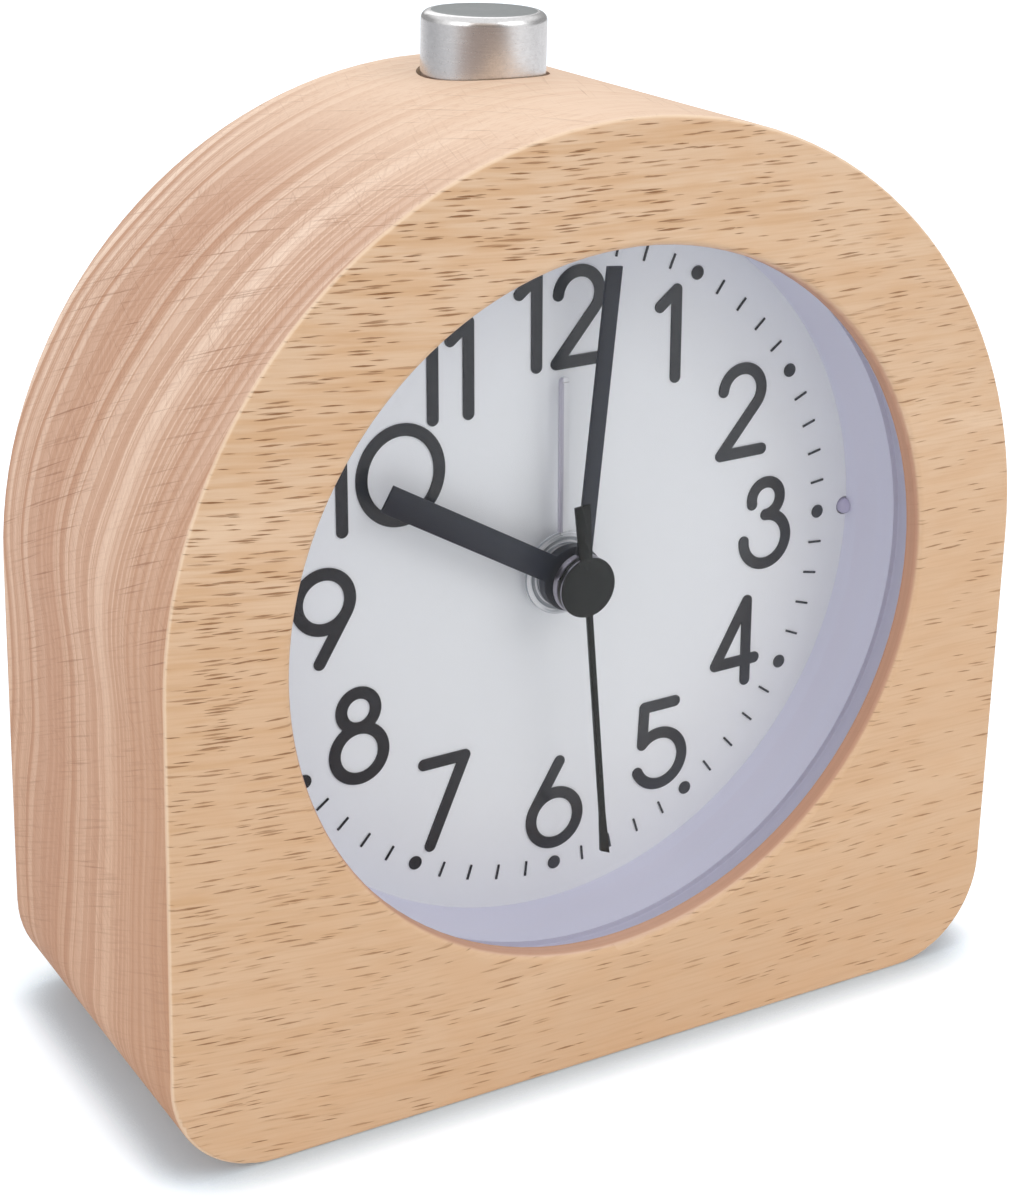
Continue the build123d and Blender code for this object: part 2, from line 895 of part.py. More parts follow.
# Stepping motor: stator, core, bobbin, winding and the magnet rotor
stator_back = stator_front + stator_thickness
core_back = stator_back + core_thickness
coil_depth = (stator_back + core_back) / 2
with BuildPart() as stator:
    bar_level = stator_top - stator_bar / 2
    left_leg = stator_left + leg_width / 2
    right_leg = stator_right - leg_width / 2
    leg_bottom = coil_height - core_height / 2
    block(
        stator_front,
        stator_back,
        stator_right - stator_left,
        stator_bar,
        ((stator_left + stator_right) / 2, bar_level),
    )
    block(
        stator_front,
        stator_back,
        leg_width,
        stator_top - leg_bottom,
        (left_leg, (stator_top + leg_bottom) / 2),
    )
    block(
        stator_front,
        stator_back,
        leg_width,
        stator_top - rotor_axis[1] + core_height / 2,
        (right_leg, (stator_top + rotor_axis[1] - core_height / 2) / 2),
    )
    disc(stator_front, stator_back, pole_radius, rotor_axis)
    block(
        stator_front,
        stator_back,
        stator_right - rotor_axis[0],
        core_height,
        ((stator_right + rotor_axis[0]) / 2, rotor_axis[1]),
    )
    block(
        stator_front,
        stator_back,
        rotor_axis[0] - core_right + leg_width,
        core_height,
        ((rotor_axis[0] + core_right - leg_width) / 2, coil_height),
    )
    disc(stator_front - overrun, stator_back + overrun, rotor_hole_radius, rotor_axis, Mode.SUBTRACT)
    for place in peg_places:
        disc(
            stator_front - overrun,
            stator_back + overrun,
            peg_radius + seat_gap,
            place,
            Mode.SUBTRACT,
        )

with BuildPart() as coil_core:
    block(
        stator_back,
        core_back,
        core_right - stator_left,
        core_height,
        ((core_right + stator_left) / 2, coil_height),
    )


def across(side):
    """The plane square to X on the coil's axis."""
    return Plane(
        origin=(side, coil_depth - wood_depth / 2, dial_height + coil_height),
        x_dir=(0, 1, 0),
        z_dir=(1, 0, 0),
    )


with BuildPart() as coil_bobbin:
    with BuildSketch(across(coil_left)):
        Circle(coil_tube_radius)
    extrude(amount=coil_right - coil_left)
    with BuildSketch(across(coil_left), across(coil_right - coil_flange_thickness)):
        Circle(coil_flange_radius)
    extrude(amount=coil_flange_thickness)
    with BuildSketch(across(coil_left)):
        Rectangle(core_thickness + 2 * seat_gap, core_height + 2 * seat_gap)
    extrude(amount=coil_right - coil_left, mode=Mode.SUBTRACT)

with BuildPart() as coil_winding:
    with BuildSketch(across(coil_left + coil_flange_thickness + seat_gap)):
        Circle(winding_radius)
        Circle(coil_tube_radius + seat_gap, mode=Mode.SUBTRACT)
    extrude(amount=coil_right - coil_left - 2 * (coil_flange_thickness + seat_gap))

with BuildPart() as rotor:
    magnet_front = (stator_front + stator_back - magnet_thickness) / 2
    disc(magnet_front, magnet_front + magnet_thickness, magnet_radius, rotor_axis)
    disc(pivot_front + face_gap, pivot_back, pivot_radius, rotor_axis)
    toothed(
        third_layer,
        second_layer,
        rotor_pinion_teeth,
        rotor_module,
        rotor_phase,
        rotor_axis,
    )

# Going train, from the rotor to the second hand and on to the centre wheel
with BuildPart() as intermediate_wheel:
    toothed(
        third_layer,
        third_layer + wheel_thickness,
        intermediate_teeth,
        rotor_module,
        0,
        intermediate_axis,
    )
    toothed(
        third_layer + wheel_thickness,
        second_layer + wheel_thickness,
        intermediate_pinion_teeth,
        second_module,
        intermediate_pinion_phase,
        intermediate_axis,
    )
    disc(pivot_front + face_gap, pivot_back, pivot_radius, intermediate_axis)

with BuildPart() as second_wheel:
    toothed(
        second_layer,
        second_layer + wheel_thickness,
        second_teeth,
        second_module,
        0,
    )
    toothed(
        third_layer,
        second_layer,
        second_pinion_teeth,
        third_module,
        0,
    )
    disc(second_hand_depth + hand_thickness, pivot_back, second_arbor_radius)

with BuildPart() as third_wheel:
    toothed(
        third_layer,
        third_layer + wheel_thickness,
        third_teeth,
        third_module,
        third_phase,
        third_axis,
    )
    toothed(
        centre_layer,
        third_layer,
        third_pinion_teeth,
        centre_module,
        0,
        third_axis,
    )
    disc(pivot_front + face_gap, pivot_back, pivot_radius, third_axis)

with BuildPart() as centre_wheel:
    toothed(
        centre_layer,
        centre_layer + wheel_thickness,
        centre_teeth,
        centre_module,
        centre_phase,
    )
    disc(
        centre_layer - overrun,
        third_layer,
        minute_pipe_radius + running_gap,
        mode=Mode.SUBTRACT,
    )

# Hand-setting train: the minute pipe slips in the centre wheel when the knob is turned
pipe_back = centre_layer + wheel_thickness + layer_gap / 4
with BuildPart() as minute_pipe:
    disc(minute_hand_depth, pipe_back, minute_pipe_radius)
    toothed(
        motion_layer,
        motion_layer + wheel_thickness,
        cannon_teeth,
        motion_module,
        0,
    )
    disc(second_hand_depth, pipe_back + overrun, minute_pipe_bore, mode=Mode.SUBTRACT)

with BuildPart() as friction_washer:
    washer_back = centre_layer - seat_gap
    disc(washer_back - washer_thickness, washer_back, washer_radius)
    disc(
        washer_back - overrun,
        washer_back + overrun,
        minute_pipe_radius + seat_gap,
        mode=Mode.SUBTRACT,
    )

with BuildPart() as motion_wheel:
    toothed(
        motion_layer,
        motion_layer + wheel_thickness,
        motion_teeth,
        motion_module,
        motion_phase,
        motion_axis,
    )
    toothed(
        hour_layer,
        motion_layer,
        motion_pinion_teeth,
        hour_module,
        0,
        motion_axis,
    )
    disc(
        hour_layer - overrun,
        centre_layer,
        stud_radius + running_gap,
        motion_axis,
        Mode.SUBTRACT,
    )

with BuildPart() as hour_wheel:
    toothed(
        hour_layer,
        hour_layer + wheel_thickness,
        hour_teeth,
        hour_module,
        hour_phase,
    )
    disc(hour_hand_depth, hour_layer + wheel_thickness, hour_pipe_radius)
    disc(second_hand_depth, motion_layer, hour_pipe_bore, mode=Mode.SUBTRACT)

with BuildPart() as alarm_wheel:
    toothed(
        alarm_layer,
        alarm_layer + wheel_thickness,
        alarm_teeth,
        alarm_module,
        0,
    )
    disc(alarm_hand_depth, alarm_layer + wheel_thickness, alarm_pipe_radius)
    disc(second_hand_depth, hour_layer, alarm_pipe_bore, mode=Mode.SUBTRACT)

# Setting arbors and their knobs
with BuildPart() as time_set_arbor:
    disc(pivot_front + face_gap, knob_front + knob_web, setting_arbor_radius, time_set_axis)
    toothed(
        motion_layer,
        motion_layer + wheel_thickness,
        time_pinion_teeth,
        motion_module,
        time_set_phase,
        time_set_axis,
    )

with BuildPart() as alarm_set_arbor:
    disc(pivot_front + face_gap, knob_front + knob_web, setting_arbor_radius, alarm_set_axis)
    toothed(
        alarm_layer,
        alarm_layer + wheel_thickness,
        alarm_pinion_teeth,
        alarm_module,
        alarm_set_phase,
        alarm_set_axis,
    )


def knob(axis):
    """A fluted knob with a sleeve that reaches through the rear cover."""
    disc(knob_front, knob_front + knob_height, knob_radius, axis)
    flute_places = [
        polar(axis, knob_radius, flute * 360 / knob_flutes) for flute in range(knob_flutes)
    ]
    with BuildSketch(facing(knob_front + knob_height + overrun)) as flutes:
        with Locations(*flute_places):
            Circle(knob_flute_radius)
    extrude(flutes.sketch, amount=knob_height + 2 * overrun, mode=Mode.SUBTRACT)
    disc(knob_front - knob_sleeve_depth, knob_front, knob_sleeve_radius, axis)
    disc(
        knob_front - knob_sleeve_depth - overrun,
        knob_front + knob_web + seat_gap,
        setting_arbor_radius + seat_gap,
        axis,
        Mode.SUBTRACT,
    )


with BuildPart() as time_set_knob:
    knob(time_set_axis)

with BuildPart() as alarm_set_knob:
    knob(alarm_set_axis)

# Rear plate of the works, held to the frame's pillars by five flush screws
with BuildPart() as rear_plate:
    with BuildSketch(facing(rear_plate_back)):
        with Locations(*pillars):
            Circle(pillar_radius + pillar_rim)
        make_hull()
    extrude(amount=rear_plate_thickness)
    for place in board_posts:
        disc(rear_plate_back, board_front, board_post_radius, place)
        disc(
            rear_plate_front - overrun,
            board_front + overrun,
            board_screw_radius,
            place,
            Mode.SUBTRACT,
        )
    for place in pillars:
        disc(
            rear_plate_front - overrun,
            rear_plate_back + overrun,
            works_screw_radius + running_gap,
            place,
            Mode.SUBTRACT,
        )
        disc(
            rear_plate_back - works_screw_head_height,
            rear_plate_back + overrun,
            works_screw_head_radius + running_gap,
            place,
            Mode.SUBTRACT,
        )
    arbors = [
        (dial_centre, second_arbor_radius),
        (third_axis, pivot_radius),
        (intermediate_axis, pivot_radius),
        (rotor_axis, pivot_radius),
        (time_set_axis, setting_arbor_radius),
        (alarm_set_axis, setting_arbor_radius),
    ]
    for place, radius in arbors:
        disc(
            rear_plate_front - overrun,
            rear_plate_back + overrun,
            radius + running_gap,
            place,
            Mode.SUBTRACT,
        )

with BuildPart() as works_screws:
    screws(
        pillars,
        rear_plate_back - works_screw_head_height,
        works_screw_head_radius,
        works_screw_head_height,
        works_screw_radius,
        works_screw_bite - works_screw_head_height,
    )

# Circuit board, its screws, chip, crystal and capacitor
with BuildPart() as circuit_board:
    block(
        board_front,
        board_back,
        board_width,
        board_top - board_bottom,
        (0, (board_top + board_bottom) / 2),
        board_corner_radius,
    )
    for place in (time_set_axis, alarm_set_axis):
        disc(
            board_front - overrun,
            board_back + overrun,
            knob_sleeve_radius,
            place,
            Mode.SUBTRACT,
        )
    for place in board_posts:
        disc(
            board_front - overrun,
            board_back + overrun,
            board_screw_radius + running_gap,
            place,
            Mode.SUBTRACT,
        )

with BuildPart() as board_screws:
    screws(
        board_posts,
        board_back,
        board_screw_head_radius,
        board_screw_head_height,
        board_screw_radius,
        board_thickness + board_gap,
    )

with BuildPart() as control_chip:
    block(
        board_back,
        board_back + chip_thickness,
        chip_width,
        chip_height,
        (chip_side, chip_level),
    )

with BuildPart() as quartz_crystal:
    crystal_plane = Plane(
        origin=(
            crystal_side,
            board_back + crystal_radius - wood_depth / 2,
            dial_height + crystal_level - crystal_length / 2,
        )
    )
    with BuildSketch(crystal_plane):
        Circle(crystal_radius)
    extrude(amount=crystal_length)

with BuildPart() as capacitor:
    disc(
        board_back,
        board_back + capacitor_length,
        capacitor_radius,
        (capacitor_side, capacitor_level),
    )

# Snooze switch on the board's top edge, with its push pin under the plunger
switch_body_top = dial_height + switch_top
plunger_bottom = switch_body_top + switch_actuator_proud
with BuildPart() as snooze_switch:
    block(
        board_back,
        board_back + 2 * switch_half_depth,
        switch_width,
        switch_height,
        (0, switch_top - switch_height / 2),
    )
    upright(
        switch_body_top - switch_bore_depth,
        switch_body_top + overrun,
        plunger_radius + switch_bore_gap,
        Mode.SUBTRACT,
    )

with BuildPart() as switch_actuator:
    upright(switch_body_top - switch_actuator_bury, plunger_bottom, plunger_radius)

# Plunger, guide, button, clip and spring, from the switch up to the button's top
guide_bottom = dial_height + pocket_radius
guide_floor_bottom = guide_bottom + clip_room
guide_floor_top = guide_floor_bottom + guide_floor
guide_top = wood_top - guide_recess
button_top = wood_top + button_proud
button_bottom = guide_top + button_travel + face_gap
button_ceiling = button_top - button_top_thickness
with BuildPart() as button_plunger:
    upright(plunger_bottom, guide_bottom, plunger_radius)
    collar_top = dial_height + ring_bore_radius - face_gap
    upright(collar_top - collar_thickness, collar_top, collar_radius)

with BuildPart() as button_guide:
    upright(guide_bottom, guide_top, button_hole_radius - guide_gap)
    upright(guide_bottom - overrun, guide_floor_bottom, clip_room_radius, Mode.SUBTRACT)
    upright(guide_floor_top, guide_top + overrun, guide_bore_radius, Mode.SUBTRACT)
    upright(guide_bottom, guide_top, stem_radius + running_gap, Mode.SUBTRACT)

with BuildPart() as snooze_button:
    upright(button_bottom, button_top, button_radius)
    fillet(snooze_button.edges().group_by(Axis.Z)[-1], button_edge_radius)
    upright(button_bottom - overrun, button_ceiling, button_bore_radius, Mode.SUBTRACT)
    upright(guide_bottom, button_ceiling, stem_radius)

with BuildPart() as button_clip:
    clip_top = guide_floor_bottom - clip_gap
    upright(clip_top - clip_thickness, clip_top, clip_radius)
    upright(guide_bottom, guide_floor_bottom, stem_radius + seat_gap, Mode.SUBTRACT)
    with BuildSketch(level(guide_bottom)) as mouth:
        with Locations((clip_radius / 2, 0)):
            Rectangle(clip_radius, clip_mouth)
    extrude(mouth.sketch, amount=clip_room, mode=Mode.SUBTRACT)


def coil_gap(pitch, wire_radius):
    """Clear space between one turn of a spring and the next."""
    return pitch - 2 * wire_radius


button_spring_height = button_ceiling - guide_floor_top - 2 * (button_spring_wire + seat_gap)
button_spring_pitch = button_spring_height / button_spring_turns
with BuildPart() as button_spring:
    spring_plane = level(guide_floor_top + button_spring_wire + seat_gap)
    spring_path = spring_plane.from_local_coords(
        Edge.make_helix(button_spring_pitch, button_spring_height, button_spring_radius)
    )
    with BuildSketch(Plane(origin=spring_path @ 0, z_dir=spring_path % 0)) as wire_section:
        Circle(button_spring_wire)
    sweep(wire_section.sketch, path=spring_path, is_frenet=True)
print("button spring gap", round(coil_gap(button_spring_pitch, button_spring_wire), 2))

# Rear cover: disc, cell bay, buzzer wall and the openings for knobs, slider and sound
bay_centre = (0, cell_level)
contact_tab_top = bay_outer_height / 2 + contact_tab_proud
contact_middle = bay_half_length - contact_thickness / 2
door_bottom = cell_level - door_half_height
buzzer_back = cover_front - face_gap
buzzer_place = (0, buzzer_level)
slot_length = slider_length + slider_travel + 2 * slider_gap
slot_place = (alarm_switch_side, alarm_switch_level)
with BuildPart() as rear_cover:
    disc(cover_front, cover_back, cover_radius)
    block(
        bay_front,
        cover_front,
        bay_outer_length,
        bay_outer_height,
        bay_centre,
        bay_corner_radius,
    )
    disc(cover_front - buzzer_wall_height, cover_front, buzzer_radius + buzzer_wall, buzzer_place)
    disc(
        cover_front - buzzer_wall_height - overrun,
        cover_front,
        buzzer_radius + running_gap,
        buzzer_place,
        Mode.SUBTRACT,
    )
    block(
        bay_floor,
        cover_back + overrun,
        2 * bay_half_length,
        2 * bay_half_height,
        bay_centre,
        mode=Mode.SUBTRACT,
    )
    block(
        cover_front,
        cover_back + overrun,
        2 * (door_half_length + door_gap),
        2 * (door_half_height + door_gap),
        bay_centre,
        door_corner_radius + door_gap,
        Mode.SUBTRACT,
    )
    for side in (-door_tab_side, door_tab_side):
        block(
            cover_front - tab_slot_depth,
            cover_front,
            door_tab_width + 2 * tab_slot_gap,
            door_tab_reach + door_tab_root + 2 * tab_slot_gap,
            (side, door_bottom + (door_tab_root - door_tab_reach) / 2),
            mode=Mode.SUBTRACT,
        )
    for side in (-contact_middle, contact_middle):
        block(
            cell_depth - contact_tab_width / 2 - door_gap,
            cell_depth + contact_tab_width / 2 + door_gap,
            contact_thickness + 2 * seat_gap,
            contact_tab_top,
            (side, cell_level + contact_tab_top / 2),
            mode=Mode.SUBTRACT,
        )
    disc(
        cover_back - door_notch_depth,
        cover_back + overrun,
        door_notch_radius,
        (0, cell_level + door_half_height),
        Mode.SUBTRACT,
    )
    for place in (time_set_axis, alarm_set_axis):
        disc(
            cover_front - overrun,
            cover_back + overrun,
            knob_sleeve_radius + face_gap,
            place,
            Mode.SUBTRACT,
        )
    for place in cover_posts:
        disc(
            cover_front - overrun,
            cover_back + overrun,
            cover_screw_radius + running_gap,
            place,
            Mode.SUBTRACT,
        )
    with BuildSketch(facing(cover_back + overrun)):
        with Locations(buzzer_place):
            Circle(sound_hole_radius)
            with PolarLocations(sound_hole_ring, sound_holes):
                Circle(sound_hole_radius)
    extrude(amount=cover_thickness + 2 * overrun, mode=Mode.SUBTRACT)
    block(
        cover_front - overrun,
        cover_back + overrun,
        slider_width + 2 * slider_gap,
        slot_length,
        slot_place,
        mode=Mode.SUBTRACT,
    )

with BuildPart() as cover_screws:
    screws(
        cover_posts,
        cover_back,
        cover_screw_head_radius,
        cover_screw_head_height,
        cover_screw_radius,
        cover_screw_bite,
    )

with BuildPart() as buzzer:
    disc(buzzer_back - buzzer_thickness, buzzer_back, buzzer_radius, buzzer_place)
    disc(
        buzzer_back - overrun,
        buzzer_back + overrun,
        sound_hole_radius,
        buzzer_place,
        Mode.SUBTRACT,
    )

# Alarm switch behind the cover, with a slider that stands out of its slot
switch_back = cover_front
switch_front = switch_back - alarm_switch_thickness
slider_front = switch_back - slider_bury
slider_low = (alarm_switch_side, alarm_switch_level - slider_travel / 2)
with BuildPart() as alarm_switch:
    block(switch_front, switch_back, alarm_switch_width, alarm_switch_height, slot_place)
    block(
        slider_front - face_gap,
        switch_back + overrun,
        slider_width + 2 * slider_gap,
        slot_length,
        slot_place,
        mode=Mode.SUBTRACT,
    )

with BuildPart() as alarm_slider:
    block(slider_front, cover_back + slider_proud, slider_width, slider_length, slider_low)

# Cell, contacts and door
cell_left = -bay_half_length + contact_thickness
cell_right = cell_left + cell_length


def along_cell(side):
    """The plane square to X on the cell's axis, seen from the right."""
    return Plane(
        origin=(side, cell_depth - wood_depth / 2, dial_height + cell_level),
        x_dir=(0, 1, 0),
        z_dir=(1, 0, 0),
    )


with BuildPart() as aa_cell:
    with BuildSketch(along_cell(cell_left + cell_nub_length)):
        Circle(cell_radius)
    extrude(amount=cell_length - cell_nub_length)
    fillet(aa_cell.edges(), cell_edge_radius)
    with BuildSketch(along_cell(cell_left)):
        Circle(cell_nub_radius)
    extrude(amount=cell_nub_length + cell_edge_radius)


def contact(side):
    """A square plate on an end wall of the bay, with a solder tab through the bay's top."""
    with BuildSketch(along_cell(side)) as outline:
        Rectangle(contact_width, contact_width)
        with Locations((0, contact_tab_top / 2)):
            Rectangle(contact_tab_width, contact_tab_top)
    extrude(outline.sketch, amount=contact_thickness)


with BuildPart() as battery_contact:
    contact(-bay_half_length)

with BuildPart() as spring_contact:
    contact(bay_half_length - contact_thickness)

cell_spring_start = cell_right + cell_spring_wire + seat_gap
cell_spring_length = bay_half_length - contact_thickness - cell_spring_wire - cell_spring_start
cell_spring_pitch = (cell_spring_length - seat_gap) / cell_spring_turns
with BuildPart() as battery_spring:
    cell_spring_path = along_cell(cell_spring_start).from_local_coords(
        Edge.make_helix(cell_spring_pitch, cell_spring_length - seat_gap, cell_spring_radius)
    )
    with BuildSketch(Plane(origin=cell_spring_path @ 0, z_dir=cell_spring_path % 0)) as cell_wire:
        Circle(cell_spring_wire)
    sweep(cell_wire.sketch, path=cell_spring_path, is_frenet=True)
print("battery spring gap", round(coil_gap(cell_spring_pitch, cell_spring_wire), 2))

with BuildPart() as battery_door:
    block(
        cover_front,
        cover_back,
        2 * door_half_length,
        2 * door_half_height,
        bay_centre,
        door_corner_radius,
    )
    for side in (-door_tab_side, door_tab_side):
        block(
            cover_front - door_gap - door_tab_thickness,
            cover_front - door_gap,
            door_tab_width,
            door_tab_reach + door_tab_root,
            (side, door_bottom + (door_tab_root - door_tab_reach) / 2),
        )
        block(
            cover_front - door_gap,
            cover_front,
            door_tab_width,
            door_tab_root - door_gap,
            (side, door_bottom + door_gap + (door_tab_root - door_gap) / 2),
        )


def spot(side, height, depth, turn=0):
    """A point given by its place as seen from the front and its depth."""
    return facing(depth, turn).from_local_coords(Vector(side, height, 0))


backward = Vector(0, 1, 0)
upward = Vector(0, 0, 1)


def lead(start, leaving, end, arriving):
    """A wire that leaves one point straight, bends, and comes straight into another."""
    with BuildLine() as run:
        Bezier(start, start + leaving * lead_reach, end + arriving * lead_reach, end)
    path = run.wires()[0]
    with BuildSketch(Plane(origin=path @ 0, z_dir=path % 0)) as section:
        Circle(lead_radius)
    sweep(section.sketch, path=path, is_frenet=True)


# Leads from the contacts, the night light, the alarm switch and the buzzer to the board
with BuildPart() as battery_leads:
    for side in (-1, 1):
        lead(
            spot(side * contact_middle, cell_level + contact_tab_top, cell_depth),
            upward,
            spot(side * battery_lead_side, battery_lead_level, board_back),
            backward,
        )

light_leg_end = frame_back + light_flange_thickness + light_leg_length
with BuildPart() as light_leads:
    for side in (-1, 1):
        lead(
            spot(light_leg_ring, side * light_leg_side, light_leg_end, dial_turn),
            backward,
            spot(battery_lead_side, light_lead_level + side * light_lead_gap / 2, board_back),
            backward,
        )

with BuildPart() as switch_leads:
    for side in (-1, 1):
        lead(
            spot(
                alarm_switch_side,
                alarm_switch_level + switch_lead_rise + side * switch_lead_gap / 2,
                switch_front,
            ),
            -backward,
            spot(battery_lead_side, switch_lead_level + side * switch_lead_gap / 2, board_back),
            backward,
        )

with BuildPart() as buzzer_leads:
    for side in (-1, 1):
        lead(
            spot(side * buzzer_lead_side, buzzer_lead_start, buzzer_back - buzzer_thickness),
            -backward,
            spot(side * buzzer_lead_end_side, buzzer_lead_end, board_back),
            backward,
        )


def hand_plane(depth, direction):
    """The dial plane at a depth, turned so that up lies along a hand."""
    return facing(depth, dial_turn - direction)


# Hands: each is a flat bar on a hub that grips its own pipe or arbor
with BuildPart() as alarm_hand:
    alarm_back = alarm_hand_depth + alarm_thickness
    with BuildSketch(hand_plane(alarm_back, alarm_hand_angle)):
        with Locations((0, alarm_length / 2)):
            Rectangle(alarm_width, alarm_length)
        with Locations((0, alarm_length - alarm_width / 2)):
            Circle(alarm_width / 2)
        Circle(alarm_hub_radius)
    extrude(amount=alarm_thickness)
    disc(alarm_hand_depth - alarm_step, alarm_hand_depth, alarm_step_radius)
    disc(
        alarm_hand_depth - overrun,
        alarm_back + overrun,
        alarm_pipe_radius + seat_gap,
        mode=Mode.SUBTRACT,
    )

with BuildPart() as hour_hand:
    with BuildSketch(hand_plane(hour_hand_depth + hand_thickness, hour_hand_angle)):
        with Locations((0, hour_length / 2)):
            Rectangle(hour_width, hour_length)
        Circle(hour_hub_radius)
    extrude(amount=hand_thickness)
    disc(hour_hand_depth, hour_hand_depth + hour_hub_thickness, hour_hub_radius)
    disc(
        hour_hand_depth - overrun,
        alarm_hand_depth,
        hour_pipe_radius + seat_gap,
        mode=Mode.SUBTRACT,
    )

with BuildPart() as minute_hand:
    with BuildSketch(hand_plane(minute_hand_depth + hand_thickness, minute_hand_angle)):
        with Locations((0, minute_length / 2)):
            Rectangle(minute_width, minute_length)
        Circle(minute_hub_radius)
    extrude(amount=hand_thickness)
    disc(cap_back + running_gap, minute_hand_depth, minute_boss_radius)
    disc(
        minute_hand_depth + hand_thickness,
        minute_hand_depth + hand_thickness + hub_wall / 2,
        minute_pipe_radius + hub_wall,
    )
    disc(
        minute_hand_depth - overrun,
        hour_hand_depth,
        minute_pipe_radius + seat_gap,
        mode=Mode.SUBTRACT,
    )

with BuildPart() as second_hand:
    disc(cap_front, cap_back, cap_radius)
    fillet(second_hand.edges().group_by(Axis.Y)[0], cap_edge_radius)
    with BuildSketch(hand_plane(second_hand_depth + hand_thickness, second_hand_angle)):
        with Locations((0, second_length / 2)):
            Rectangle(second_width, second_length)
        with BuildLine():
            Polyline(
                (-second_width / 2, second_length - second_tip_length),
                (second_width / 2, second_length - second_tip_length),
                (second_tip_width / 2, second_length - second_tip_slant),
                (-second_tip_width / 2, second_length),
                close=True,
            )
        make_face()
        with BuildLine():
            Polyline(
                (-second_tail_root / 2, 0),
                (second_tail_root / 2, 0),
                (second_tail_width / 2, -second_tail_length),
                (-second_tail_width / 2, -second_tail_length),
                close=True,
            )
        make_face()
    extrude(amount=hand_thickness)
    disc(
        second_hand_depth + hand_thickness,
        minute_hand_depth,
        second_arbor_radius + seat_gap,
        mode=Mode.SUBTRACT,
    )

pieces = {
    "wood_body": wood_body,
    "case_ring": case_ring,
    "case_screws": case_screws,
    "lens": lens,
    "dial_plate": dial_plate,
    "minute_track": minute_track,
    "dial_numerals": dial_numerals,
    "night_light": night_light,
    "main_frame": main_frame,
    "stator": stator,
    "coil_core": coil_core,
    "coil_bobbin": coil_bobbin,
    "coil_winding": coil_winding,
    "rotor": rotor,
    "intermediate_wheel": intermediate_wheel,
    "second_wheel": second_wheel,
    "third_wheel": third_wheel,
    "centre_wheel": centre_wheel,
    "minute_pipe": minute_pipe,
    "friction_washer": friction_washer,
    "motion_wheel": motion_wheel,
    "hour_wheel": hour_wheel,
    "alarm_wheel": alarm_wheel,
    "time_set_arbor": time_set_arbor,
    "alarm_set_arbor": alarm_set_arbor,
    "time_set_knob": time_set_knob,
    "alarm_set_knob": alarm_set_knob,
    "rear_plate": rear_plate,
    "works_screws": works_screws,
    "circuit_board": circuit_board,
    "board_screws": board_screws,
    "control_chip": control_chip,
    "quartz_crystal": quartz_crystal,
    "capacitor": capacitor,
    "snooze_switch": snooze_switch,
    "switch_actuator": switch_actuator,
    "button_plunger": button_plunger,
    "button_guide": button_guide,
    "snooze_button": snooze_button,
    "button_clip": button_clip,
    "button_spring": button_spring,
    "rear_cover": rear_cover,
    "cover_screws": cover_screws,
    "buzzer": buzzer,
    "alarm_switch": alarm_switch,
    "alarm_slider": alarm_slider,
    "aa_cell": aa_cell,
    "battery_contact": battery_contact,
    "spring_contact": spring_contact,
    "battery_spring": battery_spring,
    "battery_door": battery_door,
    "battery_leads": battery_leads,
    "light_leads": light_leads,
    "switch_leads": switch_leads,
    "buzzer_leads": buzzer_leads,
    "alarm_hand": alarm_hand,
    "hour_hand": hour_hand,
    "minute_hand": minute_hand,
    "second_hand": second_hand,
}

os.makedirs("parts", exist_ok=True)
for name, piece in pieces.items():
    piece.part.label = name
    export_step(piece.part, f"parts/{name}.step")
    print(name, len(piece.part.solids()), round(piece.part.volume, 2))
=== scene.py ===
# %% [markdown]
# # A desk clock in an arched block of beech
#
# The CAD model of the clock fixes every size and place, in one frame: X to the right of the
# dial, Y from the dial to the back, Z up, metres. This lesson gives its pieces the looks of
# the real ones: turned metal, printed plastic, moulded covers and, above all, the wood.
# Pieces whose small shapes matter are modelled again here with bmesh operators, and each new
# piece rides on the body that its CAD piece belongs to.

# %% Load the frame
import json
from math import asin, cos, pi, radians, sin

import bmesh
import bpy
from mathutils import Matrix, Vector


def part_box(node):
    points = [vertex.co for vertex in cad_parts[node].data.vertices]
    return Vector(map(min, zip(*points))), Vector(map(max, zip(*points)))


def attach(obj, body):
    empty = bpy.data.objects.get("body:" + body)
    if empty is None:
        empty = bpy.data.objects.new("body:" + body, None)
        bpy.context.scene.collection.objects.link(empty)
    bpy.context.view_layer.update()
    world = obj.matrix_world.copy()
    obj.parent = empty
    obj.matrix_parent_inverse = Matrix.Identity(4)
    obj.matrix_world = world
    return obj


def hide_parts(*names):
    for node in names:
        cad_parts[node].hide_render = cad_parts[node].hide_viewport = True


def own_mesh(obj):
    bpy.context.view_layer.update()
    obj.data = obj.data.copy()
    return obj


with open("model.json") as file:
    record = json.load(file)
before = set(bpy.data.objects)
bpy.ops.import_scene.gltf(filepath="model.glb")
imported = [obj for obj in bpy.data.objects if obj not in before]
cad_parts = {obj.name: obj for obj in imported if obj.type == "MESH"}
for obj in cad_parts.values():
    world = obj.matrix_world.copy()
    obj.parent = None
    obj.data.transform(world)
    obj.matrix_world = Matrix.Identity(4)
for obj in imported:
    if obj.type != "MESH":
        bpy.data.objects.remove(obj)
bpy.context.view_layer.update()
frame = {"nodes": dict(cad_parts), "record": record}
cad = frame["nodes"]
mm = 0.001
wood_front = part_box("wood_body")[0].y
dial_centre = Vector((0, 0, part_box("wood_body")[1].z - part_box("wood_body")[1].x))
dial_turn = 1.44

# %% [markdown]
# ## The camera
#
# The photographer stood to the left of the clock and a little above it. The place, the turn
# and the focal length come from fitting the block's outline, the opening and the dial's dots.
# A small upward shift keeps the picture's middle where the photograph has it.

